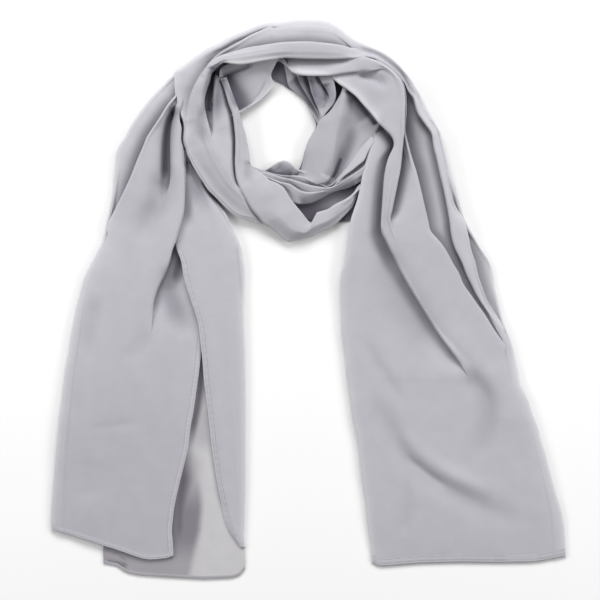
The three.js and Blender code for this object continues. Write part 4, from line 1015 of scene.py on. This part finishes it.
# a single layer on the pale surface, painted lighter for the light coming through it
single_layer_light = cloth_material("chiffon_single_layer_light", (0.43, 0.422, 0.437))

outer = make_out(1.5)
HEM_RISE, HEM_ROWS, STITCH = 0.45, (0.3, 0.82), 2.4   # mm, share of the width, mm
TOP = slice(9, -9)   # the columns between the two edges' lips

G, tone = creased(outer)
G = bowed(G, [(358, -1), (373, -1.1), (377, 2), (380, 3.1), (390, 2.9), (400, 2.2), (420, 1.3), (460, 1.5), (500, 3.1), (530, 3.5),
              (540, 2.8), (550, 1.1), (566, -1.5), (582, -2)])
T = painted_light_at_edges(outer, 5, 3)
cut = [0] + [int(round(np.interp(outer.s[13], outer.si, np.arange(len(outer.si))))),
             int(round(np.interp(outer.s[26], outer.si, np.arange(len(outer.si)))))] + [len(G) - 1]
hems = [hem("right_tail_hem", G[:, TOP], 8.5)]
G, T, tone = down(G, T, tone)
for k, (name, node) in enumerate([("loop_left_pass", "loop_left"), ("loop_top_pass", "loop_top"), ("right_tail", "tail_right")]):
    rows = slice(cut[k], cut[k + 1] + 1)
    put(name, G[rows], T[rows], tone[rows], [node], chiffon, held="folded", hems=hems if k == 2 else ())

left = make_lt()
G, tone = creased(left)
# painted a little darker towards the bottom of the panel, where two layers lie over each other
tone = np.maximum(tone, 0.09 * smooth01((G[..., 1] - 300) / 150))
G = bowed(G, [(51, 0), (62, 0.6), (75, 1.9), (88, 3.2), (105, 5.7), (115, 6.6), (125, 8), (135, 9.5), (143, 10.4), (150, 9.9),
              (158, 7.8), (167, 4.9), (172, 1.9), (176, 1)])
hems = [hem("left_tail_hem", G[:, TOP], 6.0), hem("left_tail_side_hem", G[180:-1, TOP].transpose(1, 0, 2), 4.5)]
G, T, tone = down(G, painted_light_at_edges(left, 5, 2), tone)
put("left_tail_panel", G, T, tone, ["tail_left_main"], chiffon, hems=hems)

inner = make_l3()
G, tone = creased(inner)
hems = [hem("left_inner_side_hem", G[:, TOP][:, ::-1].transpose(1, 0, 2), 4.5)]
G, T, tone = down(G, painted_light_at_edges(inner, 2, 3), tone)
put("left_tail_inner", G, T, tone, ["tail_left_inner"], chiffon, hems=hems)

lower = make_l4()
G, tone = creased(lower)
G = bowed(G, [(97, 0), (104, 0), (118, 2), (122, 5), (128, 8), (140, 9.5), (170, 9.7), (205, 9.6), (232, 7), (240, 3.6), (244, -2.6)], 20.0)
# painted shadow of the panel that lies over it, up to a soft line
shade = shaded(G, [(196, 450), (200, 480), (202, 505), (200, 530), (195, 550), (190, 575)], 9.0, 0.78, (450, 515))
tone = np.maximum(tone, shade * (1 - 0.38 * smooth01((G[..., 1] - 535) / 30)))
# the whole hem is painted darker with the painted-shade tone
hems = [hem("left_under_hem", G[:, TOP], 3.2, tint=0.42, material=single_layer_light)]
G, tone = down(G, tone)
put("left_tail_under", G, np.zeros(G.shape[:2]), tone, ["tail_left_under"], single_layer_light, hems=hems)
lay("inner_left_ply", make_li(), ["loop_inner_left"], chiffon, held="folded")
# painted shade over the whole right inner ply
lay("right_inner_ply", make_rf(), ["loop_right_inner"], chiffon, least=0.15, held="folded")
lay("bottom_plies", make_bp(), ["loop_bottom_plies"], chiffon, held="folded")
lay("inner_back", make_ib(), ["loop_inner_back"], chiffon, painted_edge_light=(3, 0))
lay("right_plies", make_ir(), ["loop_right_plies"], chiffon, held="folded")
under = make_un()
G, tone = creased(under)
# painted shade: the hidden layers are painted dark all over, less so where the lower plies part and at the loop's top
# left
tone = 0.95 - 0.5 * np.exp(-((G[..., 0] - 333) / 14) ** 2 - ((G[..., 1] - 202) / 9) ** 2)
tone -= 0.3 * np.exp(-((G[..., 0] - 278) / 9) ** 2 - ((G[..., 1] - 77) / 6) ** 2)
put("under_layers", G, np.zeros_like(tone), tone, ["loop_under"], chiffon, held="folded")

# ---------------------------------------------------------------- floor, light, camera
AMBIENT = 0.20
FLOOR = 0.74
# name, azimuth from +X and elevation in degrees, size in m, light on the floor
SOFTBOXES = [
    ("softbox_top", 88, 36, (2.6, 1.0), 2.2),
    ("softbox_left", 172, 30, (2.2, 0.9), 1.0),
    ("softbox_right", 8, 30, (2.2, 0.9), 1.0),
    ("softbox_front", 270, 40, (2.2, 1.0), 0.2),
]
floor_mesh = bpy.data.meshes.new("floor")
floor_mesh.from_pydata([(-6, -6, 0), (6, -6, 0), (6, 6, 0), (-6, 6, 0)], [], [(0, 1, 2, 3)])
floor = bpy.data.objects.new("floor", floor_mesh)
bpy.context.scene.collection.objects.link(floor)
fm = bpy.data.materials.new("floor")
fm.use_nodes = True
fb = fm.node_tree.nodes["Principled BSDF"]
fb.inputs["Base Color"].default_value = (FLOOR, FLOOR, FLOOR, 1)
fb.inputs["Roughness"].default_value = 1.0
fb.inputs["Specular IOR Level"].default_value = 0.0
floor_mesh.materials.append(fm)

scene = bpy.context.scene
world = bpy.data.worlds.new("tent")
scene.world = world
world.use_nodes = True
wn = world.node_tree
back = wn.nodes["Background"]
back.inputs["Color"].default_value = (1, 1, 1, 1)
back.inputs["Strength"].default_value = AMBIENT
# the tent's plain white wall, seen behind the object from the side
wall = wn.nodes.new("ShaderNodeBackground")
wall.inputs["Color"].default_value = (1, 1, 1, 1)
ray = wn.nodes.new("ShaderNodeLightPath")
mix = wn.nodes.new("ShaderNodeMixShader")
wn.links.new(ray.outputs["Is Camera Ray"], mix.inputs[0])
wn.links.new(back.outputs[0], mix.inputs[1])
wn.links.new(wall.outputs[0], mix.inputs[2])
wn.links.new(mix.outputs[0], wn.nodes["World Output"].inputs["Surface"])


def softbox(name, azimuth, elevation, size, light):
    """A softbox 2.5 m from the loop that gives the floor the stated light."""
    a, e, d = math.radians(azimuth), math.radians(elevation), 2.5
    pos = Vector((math.cos(a) * math.cos(e), math.sin(a) * math.cos(e), math.sin(e))) * d
    lamp = bpy.data.lights.new(name, "AREA")
    lamp.shape = "RECTANGLE"
    lamp.size, lamp.size_y = size
    lamp.energy = light * math.pi * d**2 / math.sin(e)
    o = bpy.data.objects.new(name, lamp)
    o.location = pos
    o.rotation_euler = (-pos).to_track_quat("-Z", "Y").to_euler()
    o.visible_camera = False
    scene.collection.objects.link(o)


for row in SOFTBOXES:
    softbox(*row)

cam = bpy.data.cameras.new("camera")
cam.sensor_width = 36
cam.lens = 36 * 4.0 / (600 * UNIT / 1000)
cam_o = bpy.data.objects.new("camera", cam)
cam_o.location = ((300 - CX) * UNIT / 1000, (CY - 300) * UNIT / 1000, 4.0)
scene.collection.objects.link(cam_o)
scene.camera = cam_o
scene.view_settings.view_transform = "Standard"
